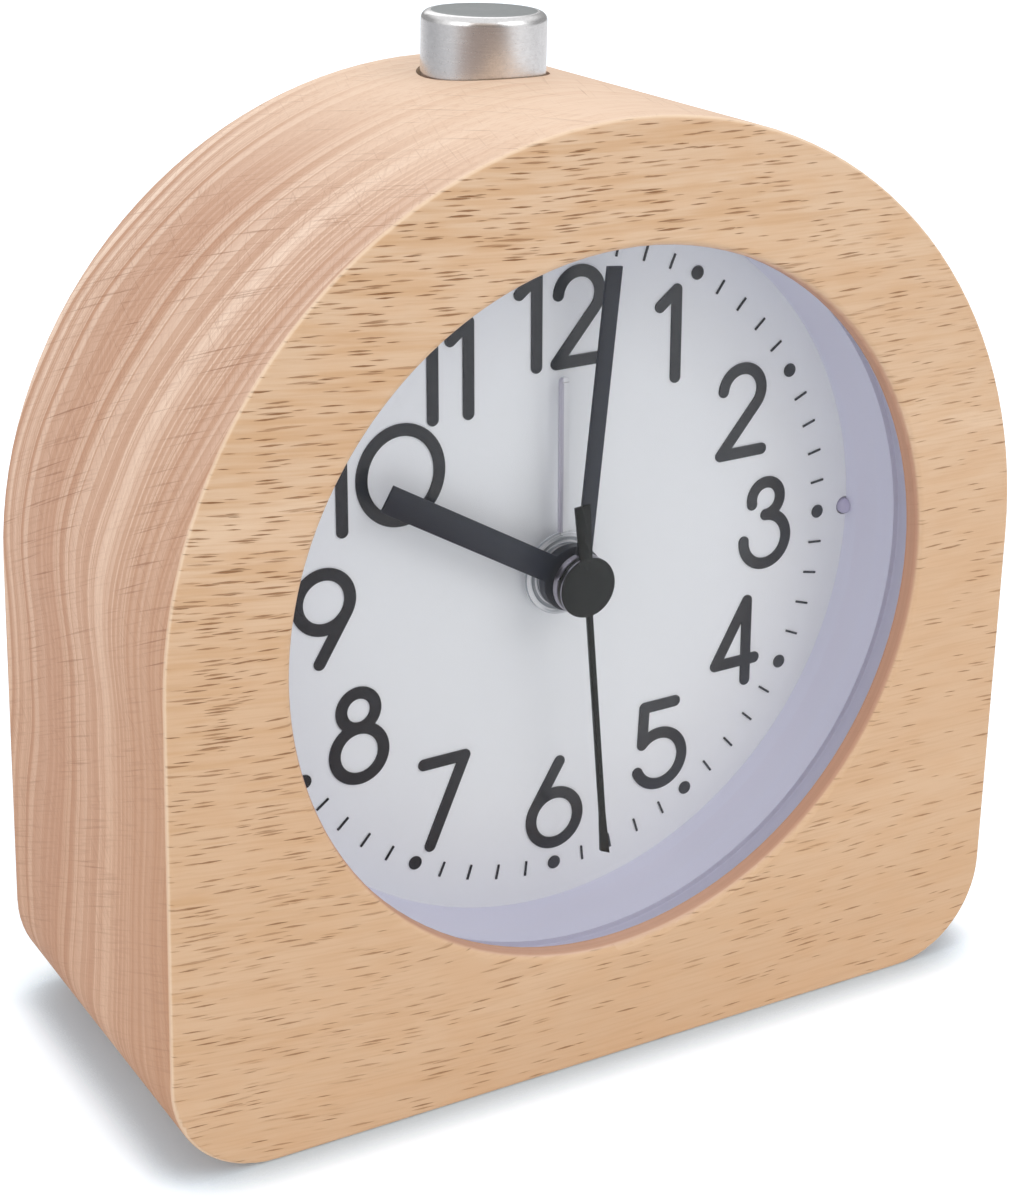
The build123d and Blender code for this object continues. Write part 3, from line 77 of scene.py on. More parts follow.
# %% Camera
camera_data = bpy.data.cameras.new("camera")
camera_data.sensor_width = 36
camera_data.lens = 71.873
camera_data.shift_y = -0.1625
camera = bpy.data.objects.new("camera", camera_data)
azimuth, elevation, roll = -0.5415290, 0.2933903, 0.0231580
backward = Vector(
    (sin(azimuth) * cos(elevation), -cos(azimuth) * cos(elevation), sin(elevation))
)
level_right = (-backward).cross(Vector((0, 0, 1))).normalized()
level_up = level_right.cross(-backward)
right = cos(roll) * level_right + sin(roll) * level_up
up = cos(roll) * level_up - sin(roll) * level_right
camera.matrix_world = Matrix((right, up, backward)).transposed().to_4x4()
camera.location = Vector((-126.241, -206.300, 139.323)) * mm
bpy.context.scene.collection.objects.link(camera)
bpy.context.scene.camera = camera
print("camera looks along", [round(v, 3) for v in -backward])

# %% [markdown]
# ## Shader arithmetic
#
# A procedural material is a network of small sums. Written as nodes, even `1 - mask` takes
# several lines, so a thin class wraps a socket and turns Python's operators into Math nodes.
# `Finish` owns one material. Its `node` method adds every other kind of node: settings come
# first, because some of them change which sockets a node has.


# %% Signals and finishes
class Signal:
    """A socket of numbers that Python's operators work on."""

    def __init__(self, network, socket):
        self.network = network
        self.socket = socket

    def __add__(self, other):
        return self.network.maths("ADD", self, other)

    def __radd__(self, other):
        return self.network.maths("ADD", other, self)

    def __sub__(self, other):
        return self.network.maths("SUBTRACT", self, other)

    def __rsub__(self, other):
        return self.network.maths("SUBTRACT", other, self)

    def __mul__(self, other):
        return self.network.maths("MULTIPLY", self, other)

    def __truediv__(self, other):
        return self.network.maths("DIVIDE", self, other)

    def __abs__(self):
        return self.network.maths("ABSOLUTE", self)


def srgb(red, green, blue):
    """A colour as a picture shows it, 0 to 255, as the light that a shader works with."""

    def light(level):
        level = level / 255
        return level / 12.92 if level <= 0.04045 else ((level + 0.055) / 1.055) ** 2.4

    return (light(red), light(green), light(blue), 1.0)


class Network:
    """A node tree, with short ways to add nodes to it."""

    def __init__(self, tree):
        self.tree = tree

    def node(self, kind, settings, sockets, output=0):
        """Adds a node: its settings first, then values or links for its sockets."""
        made = self.tree.nodes.new("ShaderNode" + kind)
        for name, value in settings.items():
            setattr(made, name, value)
        for name, value in sockets.items():
            self.feed(made.inputs[name], value)
        return Signal(self, made.outputs[output])

    def feed(self, socket, value):
        if isinstance(value, Signal):
            self.tree.links.new(value.socket, socket)
        else:
            socket.default_value = value

    def maths(self, operation, *values):
        return self.node("Math", {"operation": operation}, dict(enumerate(values)))

    def parts(self, vector):
        """The X, Y and Z of a vector as three signals."""
        return [self.node("SeparateXYZ", {}, {0: vector}, axis) for axis in range(3)]

    def together(self, x, y, z):
        return self.node("CombineXYZ", {}, {0: x, 1: y, 2: z})

    def step(self, signal, start, end):
        """0 before start, 1 after end and a smooth rise between them."""
        sockets = {"Value": signal, "From Min": start, "From Max": end}
        return self.node("MapRange", {"interpolation_type": "SMOOTHSTEP"}, sockets)

    def tint(self, share, first, second):
        """The first colour, with a share of the second laid over it."""
        return self.node("Mix", {"data_type": "RGBA"}, {0: share, 6: first, 7: second}, 2)


class Finish(Network):
    """One procedural material."""

    def __init__(self, name, **constants):
        self.material = bpy.data.materials.new(name)
        self.material.use_nodes = True
        super().__init__(self.material.node_tree)
        self.shader = self.tree.nodes["Principled BSDF"]
        for name, value in constants.items():
            self.shader.inputs[name.replace("_", " ")].default_value = value

    def place(self, scale=(1, 1, 1), shift=(0, 0, 0)):
        """Object coordinates in millimetres, scaled and then shifted."""
        inputs = {"Vector": self.node("TexCoord", {}, {}, "Object"), "Scale": (1000, 1000, 1000)}
        metric = self.node("Mapping", {}, inputs)
        return self.node("Mapping", {}, {"Vector": metric, "Scale": scale, "Location": shift})

    def noise(self, vector, detail=2.0, roughness=0.5):
        sockets = {"Vector": vector, "Scale": 1.0, "Detail": detail, "Roughness": roughness}
        return self.node("TexNoise", {}, sockets, 0)

    def cells(self, vector, exponent):
        """Distance to the nearest point of a flat cell pattern, and three chances per cell."""
        settings = {"voronoi_dimensions": "2D", "distance": "MINKOWSKI", "feature": "F1"}
        sockets = {"Vector": vector, "Scale": 1.0, "Exponent": exponent}
        distance = self.node("TexVoronoi", settings, sockets, "Distance")
        return distance, self.parts(self.node("TexVoronoi", settings, sockets, "Color"))

    def colour(self, colour):
        self.feed(self.shader.inputs["Base Color"], colour)

    def rough(self, amount):
        self.feed(self.shader.inputs["Roughness"], amount)

    def bump(self, height, depth):
        """A relief of that depth in millimetres where the height signal goes from 0 to 1."""
        sockets = {"Height": height, "Distance": depth * mm}
        self.feed(self.shader.inputs["Normal"], self.node("Bump", {}, sockets))


print("finishes are ready")

# %% [markdown]
# ## Beech
#
# Beech is a block of fibres that run one way, here along X, in yearly rings that lie nearly
# level with the front face. One solid pattern in object coordinates therefore gives all the
# faces at once: the rings show as soft wide bands on the front, as sharp upright lines on the
# sides and over the arch, and as long streaks on the top. The broad rays of beech cross the
# rings, so the front shows their ends: short dark flecks, each pointed at both ends.

# %% Beech: where a point is, and which way its face looks
beech = Finish("beech", Specular_IOR_Level=0.3)
x, y, z = beech.parts(beech.place())
facing = beech.node("TexCoord", {}, {}, "Normal")
normal_x, normal_y, normal_z = [abs(part) for part in beech.parts(facing)]
front_share = beech.step(normal_y, 0.45, 0.8)
end_share = beech.step(normal_x, 0.12, 0.7)
dark_corner = beech.step(z - x * 0.9, 5, 120)
left_x = beech.maths("MINIMUM", x, 0.0)
grain_z = z - left_x * left_x * 0.0013

# %% Beech: yearly rings
slow = beech.noise(beech.place(scale=(1 / 170, 1 / 60, 1 / 42)), detail=1.5)
ring_depth = y + (slow - 0.5) * 17 + z * 0.045
uneven = beech.noise(beech.together(ring_depth / 6, 0, 0), detail=3.0)
ring_count = (ring_depth + uneven * 6.5) / 2.9
ring_phase = beech.maths("FRACT", ring_count)
ring_number = beech.maths("FLOOR", ring_count)
ring_strength = beech.node("TexWhiteNoise", {"noise_dimensions": "1D"}, {"W": ring_number})
late_wood = beech.step(ring_phase, 0.05, 0.92) * (1 - beech.step(ring_phase, 0.94, 1.0))
rings = late_wood * (ring_strength * 0.7 + 0.3)
wide_bands = beech.step(beech.noise(beech.together(ring_depth / 9, 3.3, 0)), 0.38, 0.64)
red_band = 1 - beech.step(abs(ring_depth - 9.5), 1.5, 5.5)
line_place = beech.together(ring_depth * 0.8, 7.7, 0)
lines = beech.step(beech.noise(line_place, detail=4.0, roughness=0.7), 0.46, 0.56)

# %% Beech: fibres
grain = beech.together(x, y, grain_z)


def along_grain(length, depth, width):
    """The place in the wood, drawn out along the grain, as a share of these lengths."""
    sockets = {"Vector": grain, "Scale": (1 / length, 1 / depth, 1 / width)}
    return beech.node("Mapping", {}, sockets)


fibres = beech.noise(along_grain(9, 0.45, 0.28), detail=3.0, roughness=0.6)
streaks = beech.noise(along_grain(15, 6, 1.1), detail=2.5, roughness=0.6)
mottle = beech.noise(along_grain(7, 7, 2.6), detail=2.0)
side_fibres = beech.noise(beech.place(scale=(0.5, 2.6, 1 / 14)), detail=3.0, roughness=0.6)
side_grain = beech.noise(beech.place(scale=(1.2, 3.4, 1.2)), detail=3.0, roughness=0.65)
sway = beech.noise(beech.place(scale=(1 / 30, 1 / 30, 1 / 22)), detail=1.0)
crowding = beech.noise(beech.place(scale=(1 / 16, 1 / 40, 1 / 7), shift=(4, 0, 9)), detail=1.5)


# %% Beech: the rays' ends on the front
def ray_ends(length, width, empty, seed):
    """Dark spindles along X, and the soft stain round them, from a stretched cell pattern."""
    cell = beech.together(x / length + y * 0.02 + seed, (grain_z + sway * 3) / width + seed, 0)
    distance, chance = beech.cells(cell, 1.1)
    present = beech.step(chance[1] + (crowding - 0.5) * 0.6, empty, empty + 0.04)
    reach = chance[0] * 0.14 + 0.09
    spindle = beech.step(reach - distance, 0.0, 0.04) * (chance[2] * 0.6 + 0.4) * present
    stain = beech.step(reach - distance, -0.14, 0.05) * present
    return spindle, stain


short_rays, short_stains = ray_ends(7.8, 0.54, 0.28, 0.0)
dense_rays, dense_stains = ray_ends(6.4, 0.48, 0.46, 3.4)
long_rays, long_stains = ray_ends(11.0, 0.6, 0.66, 7.7)
flecks = beech.maths("MAXIMUM", dense_rays, long_rays) * dark_corner
flecks = beech.maths("MAXIMUM", flecks, short_rays * (dark_corner * 0.3 + 0.7))
stains = beech.maths("MAXIMUM", dense_stains, long_stains) * dark_corner
stains = beech.maths("MAXIMUM", stains, short_stains * 0.5)

# %% [markdown]
# The saw leaves its own marks on the sides: a set of fine scratches that rises towards the
# front, a weaker set that falls, and a faint weave below both. They fade towards the foot.
# They follow the arch, so they are drawn on the length along its outline instead of on the
# height.

# %% Beech: saw marks on the sides and over the arch
arch_radius = 50
above = z - dial_centre.z / mm
along_arch = beech.maths("ARCTAN2", beech.maths("MAXIMUM", above, 0.0), abs(x)) * arch_radius
outline = along_arch + beech.maths("MINIMUM", above, 0.0)


def sawn_at(angle):
    """How far a point lies along and across a cut that rises to the front at this angle."""
    lengthwise = y * -cos(radians(angle)) + outline * sin(radians(angle))
    across = y * sin(radians(angle)) + outline * cos(radians(angle))
    return lengthwise, across


def scratches(angle, length, spacing, seed):
    """Broken thin lines in the plane of the outline and the depth, rising at this angle."""
    lengthwise, across = sawn_at(angle)
    cell = beech.together(lengthwise / length + seed, across / spacing + seed, 0)
    distance, chance = beech.cells(cell, 0.8)
    present = beech.step(chance[1], 0.35, 0.4)
    return beech.step(chance[0] * 0.2 + 0.12 - distance, 0.0, 0.1) * present * chance[2]


def hatching(angle, length, pitch):
    """Half of the faint weave, finer than single scratches, at this angle."""
    lengthwise, across = sawn_at(angle)
    pattern = beech.noise(beech.together(lengthwise / length, across / pitch, 0), detail=1.5)
    return beech.step(pattern, 0.5, 0.72)


sawn_place = beech.place(scale=(1 / 34, 1 / 20, 1 / 26), shift=(0, 5, 0))
sawn = beech.step(beech.noise(sawn_place), 0.36, 0.6) * 0.8 + 0.2
rising = beech.maths("MAXIMUM", scratches(25, 34, 0.42, 2.0), scratches(23, 24, 0.5, 9.0))
falling = beech.maths("MAXIMUM", scratches(-17, 16, 0.3, 6.0), scratches(-20, 12, 0.34, 4.0))
saw_marks = beech.maths("MAXIMUM", rising, falling * 0.4) * sawn
saw_marks = saw_marks * (beech.step(z, 15, 70) * 0.6 + 0.4)
weave = beech.maths("MAXIMUM", hatching(24, 7, 0.3), hatching(-40, 5, 0.26))
weave = weave * (sawn * 0.7 + 0.3)

# %% Beech: colours of the three kinds of face
# Painted light: the front is painted lighter towards the top, as if lit from above.
front_painted_toplight = beech.tint(beech.step(z, 45, 95), srgb(227, 191, 156), srgb(250, 226, 200))
front_base = beech.tint(wide_bands * 0.8, front_painted_toplight, srgb(219, 182, 146))
front_base = beech.tint(beech.step(mottle, 0.4, 0.65) * 0.3, front_base, srgb(220, 176, 134))
front_base = beech.tint(rings * 0.25, front_base, srgb(210, 168, 130))
streak_share = beech.step(streaks, 0.44, 0.68) * (dark_corner * 0.4 + 0.12)
front_base = beech.tint(streak_share, front_base, srgb(208, 162, 116))
front_base = beech.tint(beech.step(fibres, 0.4, 0.75) * 0.28, front_base, srgb(200, 156, 116))
front_base = beech.tint(stains * 0.3, front_base, srgb(190, 136, 88))
front_wood = beech.tint(flecks * 0.85, front_base, srgb(132, 84, 42))
# Painted light: the sides are painted lighter towards the top, as if lit from above.
end_painted_toplight = beech.tint(beech.step(z, 25, 95), srgb(228, 189, 160), srgb(251, 224, 203))
end_base = beech.tint(wide_bands * 0.5, end_painted_toplight, srgb(208, 166, 140))
end_base = beech.tint(lines * 0.6, end_base, srgb(196, 148, 118))
end_base = beech.tint(rings * 0.75, end_base, srgb(190, 138, 107))
end_base = beech.tint(red_band * 0.25, end_base, srgb(186, 130, 99))
near_front = (1 - beech.step(y, -20, -2)) * (1 - beech.step(z, 40, 85))
end_base = beech.tint(near_front * 0.4, end_base, srgb(198, 148, 110))
end_base = beech.tint(beech.step(side_fibres, 0.4, 0.8) * 0.28, end_base, srgb(196, 152, 124))
end_base = beech.tint(beech.step(side_grain, 0.5, 0.8) * 0.3, end_base, srgb(192, 150, 126))
end_base = beech.tint(weave * 0.32, end_base, srgb(176, 130, 104))
end_wood = beech.tint(saw_marks * 0.7, end_base, srgb(150, 104, 76))
top_base = beech.tint(rings * 0.4, srgb(242, 212, 186), srgb(228, 188, 156))
top_wood = beech.tint(beech.step(fibres, 0.45, 0.8) * 0.45, top_base, srgb(214, 172, 140))
top_wood = beech.tint(saw_marks * 0.4, top_wood, srgb(166, 120, 90))
curved_wood = beech.tint(end_share, top_wood, end_wood)
wood_colour = beech.tint(front_share, curved_wood, front_wood)

# %% [markdown]
# A router cuts the opening. Its thin wall in the hole is painted darker and more orange than
# the faces, a painted shade, with the tool's marks in it. The sanded edges are painted a little
# lighter, a painted highlight.

# %% Beech: the routed wall's painted shade, the edges' painted highlight and the relief
from_axis = beech.maths("SQRT", x * x + above * above)
routed = (1 - beech.step(from_axis, 37.5, 38.1)) * (1 - beech.step(normal_y, 0.3, 0.8))
tool_marks = beech.noise(beech.together(from_axis * 2.5, y * 3.2, 0), detail=2.5)
# Painted shade: the routed wall inside the opening is painted darker and more orange.
routed_wood_painted_shade = beech.tint(tool_marks, srgb(214, 168, 140), srgb(190, 139, 116))
wood_colour = beech.tint(routed * 0.85, wood_colour, routed_wood_painted_shade)
# Painted highlight: the rounded edges are painted lighter, most of all on the outer edge.
edge_painted_highlight = beech.step(normal_y, 0.1, 0.5) * (1 - beech.step(normal_y, 0.75, 0.97))
outer_edge_painted_highlight = edge_painted_highlight * (beech.step(from_axis, 40, 44) * 0.4 + 0.08)
beech.colour(beech.tint(outer_edge_painted_highlight, wood_colour, srgb(252, 228, 200)))
beech.rough(0.5 + fibres * 0.16)
relief = fibres * 0.12 - flecks * front_share - saw_marks * (1 - front_share) * 0.2
beech.bump(relief, 0.06)
print("beech has", len(beech.tree.nodes), "nodes")

# %% [markdown]
# ## Plain finishes
#
# Moulded, printed, painted and turned surfaces need less: one colour with the slight
# unevenness of the real surface, in roughness and relief.


# %% A maker for plain finishes
def plain(slot, colour, second, grain, roughness, spread=0.08, relief=0.0, **constants):
    """Two close colours in a fine noise of that grain in millimetres."""
    finish = Finish(slot, **constants)
    cloud = finish.noise(finish.place(scale=(1 / grain, 1 / grain, 1 / grain)), detail=3.0)
    finish.colour(finish.tint(cloud, colour, second))
    finish.rough(roughness + (cloud - 0.5) * spread)
    if relief > 0:
        finish.bump(cloud, relief)
    return finish


finishes = {
    "beech": beech,
    "frame_white": plain("frame_white", srgb(226, 226, 222), srgb(218, 218, 214), 6, 0.45),
    "dial_white": plain("dial_white", srgb(243, 245, 248), srgb(247, 249, 251), 14, 0.38),
    "dial_ink": plain("dial_ink", srgb(38, 42, 48), srgb(48, 52, 58), 3, 0.24),
    "light_lens": plain("light_lens", srgb(190, 184, 214), srgb(200, 194, 222), 1, 0.2),
    "screw_steel": plain(
        "screw_steel", srgb(176, 178, 182), srgb(160, 162, 166), 0.6, 0.32, Metallic=1.0
    ),
    "stator_iron": plain(
        "stator_iron", srgb(150, 152, 156), srgb(134, 136, 140), 1.2, 0.38, Metallic=1.0
    ),
    "bobbin_plastic": plain("bobbin_plastic", srgb(226, 220, 196), srgb(216, 210, 186), 2, 0.4),
    "magnet": plain("magnet", srgb(70, 71, 75), srgb(58, 59, 63), 0.5, 0.45, Metallic=0.7),
    "wheel_acetal": plain("wheel_acetal", srgb(236, 235, 230), srgb(228, 227, 222), 2, 0.3),
    "pipe_acetal": plain("pipe_acetal", srgb(40, 41, 44), srgb(50, 51, 54), 1.5, 0.3),
    "arbor_steel": plain(
        "arbor_steel", srgb(168, 164, 174), srgb(154, 150, 160), 0.6, 0.28, Metallic=1.0
    ),
    "knob_black": plain("knob_black", srgb(38, 38, 41), srgb(46, 46, 49), 1.2, 0.42),
    "board_green": plain("board_green", srgb(28, 92, 56), srgb(20, 78, 46), 2.5, 0.32),
    "part_black": plain("part_black", srgb(34, 34, 37), srgb(42, 42, 45), 1.5, 0.45),
    "can_metal": plain(
        "can_metal", srgb(206, 208, 212), srgb(196, 198, 202), 0.8, 0.22, Metallic=1.0
    ),
    "pin_white": plain("pin_white", srgb(232, 232, 230), srgb(224, 224, 222), 1.5, 0.35),
    "spring_steel": plain(
        "spring_steel", srgb(192, 194, 198), srgb(178, 180, 184), 0.5, 0.25, Metallic=1.0
    ),
    "cover_black": plain(
        "cover_black", srgb(42, 42, 45), srgb(50, 50, 53), 0.35, 0.5, relief=0.02
    ),
    "lead_red": plain("lead_red", srgb(176, 38, 34), srgb(160, 30, 28), 1.5, 0.38),
    "hand_black": plain("hand_black", srgb(27, 34, 47), srgb(35, 42, 56), 4, 0.4),
    "hand_gloss": plain(
        "hand_gloss", srgb(12, 18, 18), srgb(20, 26, 25), 4, 0.14, Specular_IOR_Level=0.25
    ),
}
print(len(finishes), "finishes so far")

# %% [markdown]
# Some finishes follow the shape. The ring's wall is painted darker in front of the lens, a
# painted shadow. The alarm hand's clear boss gets grey arcs round its axis, painted
# reflections, and its blade a painted shadow stripe along the left edge. Turned aluminium
# keeps the fine rings of the tool, so its noise is squeezed along the
# axis of the button. The coil is wire laid side by side, and the cell's steel can has a
# lighter band at one end.

# %% Ring, alarm hand
ring = Finish("ring_white", Roughness=0.36)
ring_y = ring.parts(ring.place())[1]
# Painted shadow: the ring's wall in front of the lens keeps the darker colour.
past_painted_shadow = ring.step(ring_y - wood_front / mm, 5.2, 5.9)
ring.colour(ring.tint(past_painted_shadow, srgb(217, 217, 239), srgb(233, 233, 251)))
finishes["ring_white"] = ring

white_hand = Finish("hand_white", Roughness=0.14)
hand_x, hand_y, hand_z = white_hand.parts(white_hand.place(shift=-dial_centre / mm))
hand_radius = white_hand.maths("SQRT", hand_x * hand_x + hand_z * hand_z)
# Painted reflections: grey arcs on the clear boss.
arc_place = white_hand.together(hand_radius * 2.4, hand_y * 2, hand_x / 9)
arc_noise = white_hand.noise(arc_place, detail=3.0)
on_boss = 1 - white_hand.step(hand_radius, 4.5, 4.7)
arc_reflections = white_hand.step(arc_noise, 0.44, 0.58) * on_boss
# Painted shadow: a darker stripe along the blade's left edge.
across = hand_x + hand_z * sin(radians(dial_turn))
edge = (1 - white_hand.step(across, -0.3, -0.16)) * (1 - on_boss)
white_hand_colour = white_hand.tint(arc_reflections, srgb(248, 249, 252), srgb(158, 164, 170))
white_hand.colour(white_hand.tint(edge, white_hand_colour, srgb(204, 201, 214)))
finishes["hand_white"] = white_hand

# %% Turned aluminium, copper winding, steel cell
button_low, button_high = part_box("snooze_button")
button_axis = Vector((0, (button_low.y + button_high.y) / 2, 0))
button_top, stem_end = button_high.z / mm, button_low.z / mm
button = Finish("button_aluminium", Metallic=1.0)
button_x, button_y, button_z = button.parts(button.place(shift=-button_axis / mm))
from_middle = button.maths("SQRT", button_x * button_x + button_y * button_y)
on_top = button.step(button_z, button_top - 0.3, button_top - 0.05)
brushing = button.noise(button.place(scale=(0.25, 0.25, 5.0)), detail=3.0)
speckle = button.noise(button.place(scale=(2.2, 2.2, 2.2)), detail=4.0, roughness=0.7)
bright = button.tint(speckle, srgb(240, 239, 239), srgb(206, 205, 206))
# Painted reflection: the flat face is painted darker than the rim.
face_dark_reflection = button.tint(speckle, srgb(126, 131, 132), srgb(116, 121, 122))
face = on_top * (1 - button.step(from_middle, 5.5, 5.7))
button.colour(button.tint(face, bright, face_dark_reflection))
button.rough(0.14 + brushing * 0.12 + speckle * 0.1 + face * 0.1)
button.bump(brushing + speckle, 0.003)
finishes["button_aluminium"] = button

winding = Finish("copper_wire", Metallic=0.6)
wire_run = {"Vector": winding.place(), "Scale": 2.4, "Distortion": 0.6}
turns = winding.node("TexWave", {"bands_direction": "X"}, wire_run)
winding.colour(winding.tint(turns, srgb(150, 78, 44), srgb(206, 122, 72)))
winding.rough(0.42 - turns * 0.12)
winding.bump(turns, 0.05)
finishes["copper_wire"] = winding

jacket = Finish("cell_jacket", Metallic=0.85)
run_of_cell = jacket.parts(jacket.place())[0]
band = jacket.step(run_of_cell, -19.0, -18.8)
brushed_can = jacket.noise(jacket.place(scale=(6.0, 0.4, 0.4)), detail=3.0)
jacket.colour(jacket.tint(band, srgb(196, 198, 202), srgb(66, 70, 78)))
jacket.rough(0.26 + brushed_can * 0.12)
finishes["cell_jacket"] = jacket

# %% [markdown]
# The lens is a flat clear disc. A shader that bends light would leave the dial in the dark,
# because the lamps' light can't find its way through, so the pane mixes a mirror into a clear
# shader by the angle of view, as a thin pane does.

# %% Clear lens
clear = Finish("clear_lens")
clear.tree.nodes.remove(clear.shader)
pane = clear.tree.nodes.new("ShaderNodeMixShader")
glance = clear.node("Fresnel", {}, {"IOR": 1.3})
pane_normal = clear.parts(clear.node("TexCoord", {}, {}, "Normal"))[1]
clear.feed(pane.inputs[0], glance * clear.step(abs(pane_normal), 0.8, 0.95) * 0.5)
clear.feed(pane.inputs[1], clear.node("BsdfTransparent", {}, {}))
clear.feed(pane.inputs[2], clear.node("BsdfGlossy", {}, {"Roughness": 0.02}))
clear.tree.links.new(pane.outputs[0], clear.tree.nodes["Material Output"].inputs["Surface"])
finishes["clear_lens"] = clear

# %% [markdown]
# ## Dressing the CAD pieces
#
# Every CAD piece takes the finish of the slot that the record gives it. Some are replaced
# further on by pieces with finer shapes, which take the same slot.

# %% Hand out the finishes
slot_of = {part["node"]: part["material_slot"] for part in frame["record"]["subparts"]}
for name, piece in cad.items():
    piece.data.materials.clear()
    piece.data.materials.append(finishes[slot_of[name]].material)
print(len(cad), "CAD pieces dressed")


# %% [markdown]
# ## Finer shapes
#
# A moulded or stamped edge is never quite sharp, and the thin bright line along it is what
# makes a piece look real. `softened` copies a CAD piece, merges its triangles into clean
# faces and rounds its edges. `finished` hands a new mesh its finish, body and slot.


# %% Helpers for new pieces
def finished(piece_name, mesh_source, node, body, slot=None):
    """Makes an object from a bmesh that stands for a CAD node and rides on its body."""
    slot = slot or slot_of[node]
    bmesh.ops.recalc_face_normals(mesh_source, faces=mesh_source.faces)
    mesh = bpy.data.meshes.new(piece_name)
    mesh_source.to_mesh(mesh)
    mesh_source.free()
    mesh.shade_smooth()
    mesh.set_sharp_from_angle(angle=radians(30))
    piece = bpy.data.objects.new(piece_name, mesh)
    bpy.context.scene.collection.objects.link(piece)
    mesh.materials.append(finishes[slot].material)
    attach(piece, body)
    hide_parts(node)
    print(piece_name, len(mesh.polygons), "faces")
    return piece


def softened(node, body, radius, segments=2):
    """A CAD piece with its sharp edges rounded to this radius in millimetres."""
    copy = bmesh.new()
    copy.from_mesh(cad[node].data)
    bmesh.ops.remove_doubles(copy, verts=copy.verts, dist=0.002 * mm)
    bmesh.ops.dissolve_limit(
        copy, angle_limit=radians(0.5), verts=copy.verts, edges=copy.edges
    )
    piece = finished(node + "_soft", copy, node, body)
    rounding = piece.modifiers.new("rounded edges", "BEVEL")
    rounding.width = radius * mm
    rounding.segments = segments
    rounding.limit_method = "ANGLE"
    rounding.angle_limit = radians(35)
    rounding.harden_normals = True
    return piece


def at_depth(point, depth):
    """A point drawn on the dial's plane, in millimetres, put at a depth behind the wood."""
    return Vector((point[0] * mm, wood_front + depth * mm, dial_centre.z + point[1] * mm))


def lathe(corners, centre, axis, steps=96):
    """Spins a line of points round an axis into a bmesh."""
    shape = bmesh.new()
    made = [shape.verts.new(corner) for corner in corners]
    edges = [shape.edges.new(pair) for pair in zip(made, made[1:])]
    bmesh.ops.spin(
        shape,
        geom=made + edges,
        cent=centre,
        axis=axis,
        angle=2 * pi,
        steps=steps,
        use_merge=True,
    )
    bmesh.ops.remove_doubles(shape, verts=shape.verts, dist=0.0005 * mm)
    return shape


def turned(profile):
    """A round piece on the dial's axis, from a profile of (radius, depth) points."""
    corners = [at_depth((radius, 0), depth) for radius, depth in profile]
    return lathe(corners, dial_centre, (0, 1, 0))


def joined(first, second):
    """Adds the second bmesh to the first."""
    mesh = bpy.data.meshes.new("loose")
    second.to_mesh(mesh)
    second.free()
    first.from_mesh(mesh)
    bpy.data.meshes.remove(mesh)
    return first


def rounded(shape, radius, segments=2, sharpness=35):
    """Rounds every edge that turns by more than this angle, to a radius in millimetres."""
    bmesh.ops.remove_doubles(shape, verts=shape.verts, dist=0.0005 * mm)
    bmesh.ops.recalc_face_normals(shape, faces=shape.faces)
    turn = radians(sharpness)
    sharp = [edge for edge in shape.edges if edge.calc_face_angle(0) > turn]
    bmesh.ops.bevel(
        shape,
        geom=sharp,
        offset=radius * mm,
        affect="EDGES",
        segments=segments,
        profile=0.5,
        material=-1,
    )
    return shape


def bar(outline, front, back):
    """A flat piece between two depths, from an outline drawn with up along the hand."""
    shape = bmesh.new()
    corners = [shape.verts.new(at_depth(point, back)) for point in outline]
    face = shape.faces.new(corners)
    moved = bmesh.ops.extrude_face_region(shape, geom=[face])["geom"]
    lifted = [part for part in moved if isinstance(part, bmesh.types.BMVert)]
    bmesh.ops.translate(shape, verts=lifted, vec=(0, (front - back) * mm, 0))
    return shape


def aimed(shape, direction):
    """Turns a hand clockwise to its direction on the dial, which sits a little askew."""
    turn = Matrix.Rotation(radians(direction - dial_turn), 3, "Y")
    bmesh.ops.rotate(shape, verts=shape.verts, cent=dial_centre, matrix=turn)
    return shape


def blade(width, length, hub_radius, steps=48):
    """The outline of a straight hand that grows out of a round hub."""
    half = width / 2
    open_angle = asin(half / hub_radius)
    turns = [open_angle + (2 * pi - 2 * open_angle) * i / steps for i in range(steps + 1)]
    rim = [(hub_radius * sin(turn), hub_radius * cos(turn)) for turn in turns]
    return rim + [(-half, length), (half, length)]


# %% [markdown]
# ## The hands
#
# The hour and minute hands are stamped from thin sheet and painted dark grey. The hour hand
# has a small step near its hub, where the stamping tool bent it. The minute hand's hub ends
# in a bright metal collar, which shows as a silver ring behind the black cap of the second
# hand. The alarm hand is clear white plastic with a stepped boss and a ridge along its left.

# %% Hour hand
hour_direction, minute_direction, second_direction, alarm_direction = -59.5, 6.2, 175.3, 0.0
step_out, step_in, step_back = 4.75, 4.5, 0.1
hour = bar(blade(2.9, 25.0, 3.5), 10.3, 10.7)
for height in (step_out, step_in):
    bmesh.ops.bisect_plane(
        hour,
        geom=hour.verts[:] + hour.edges[:] + hour.faces[:],
        plane_co=at_depth((0, height), 0),
        plane_no=(0, 0, 1),
    )
bent = [corner for corner in hour.verts if corner.co.z < at_depth((0, step_in + 0.01), 0).z]
bmesh.ops.translate(hour, verts=bent, vec=(0, step_back * mm, 0))
rounded(hour, 0.06)
finished("hour_blade", aimed(hour, hour_direction), "hour_hand", "hours")
hour_collar = turned([(1.62, 10.5), (1.62, 11.6), (3.4, 11.6), (3.5, 11.5), (3.5, 10.5)])
finished("hour_collar", hour_collar, "hour_hand", "hours")

# %% Minute hand
minute = rounded(bar(blade(1.8, 33.4, 3.2), 8.8, 9.2), 0.06)
finished("minute_blade", aimed(minute, minute_direction), "minute_hand", "minutes")
minute_collar = turned(
    [(0.97, 8.46), (3.1, 8.46), (3.2, 8.5), (3.24, 8.58), (3.24, 9.2), (3.0, 9.22)]
)
finished("minute_collar", minute_collar, "minute_hand", "minutes", slot="arbor_steel")

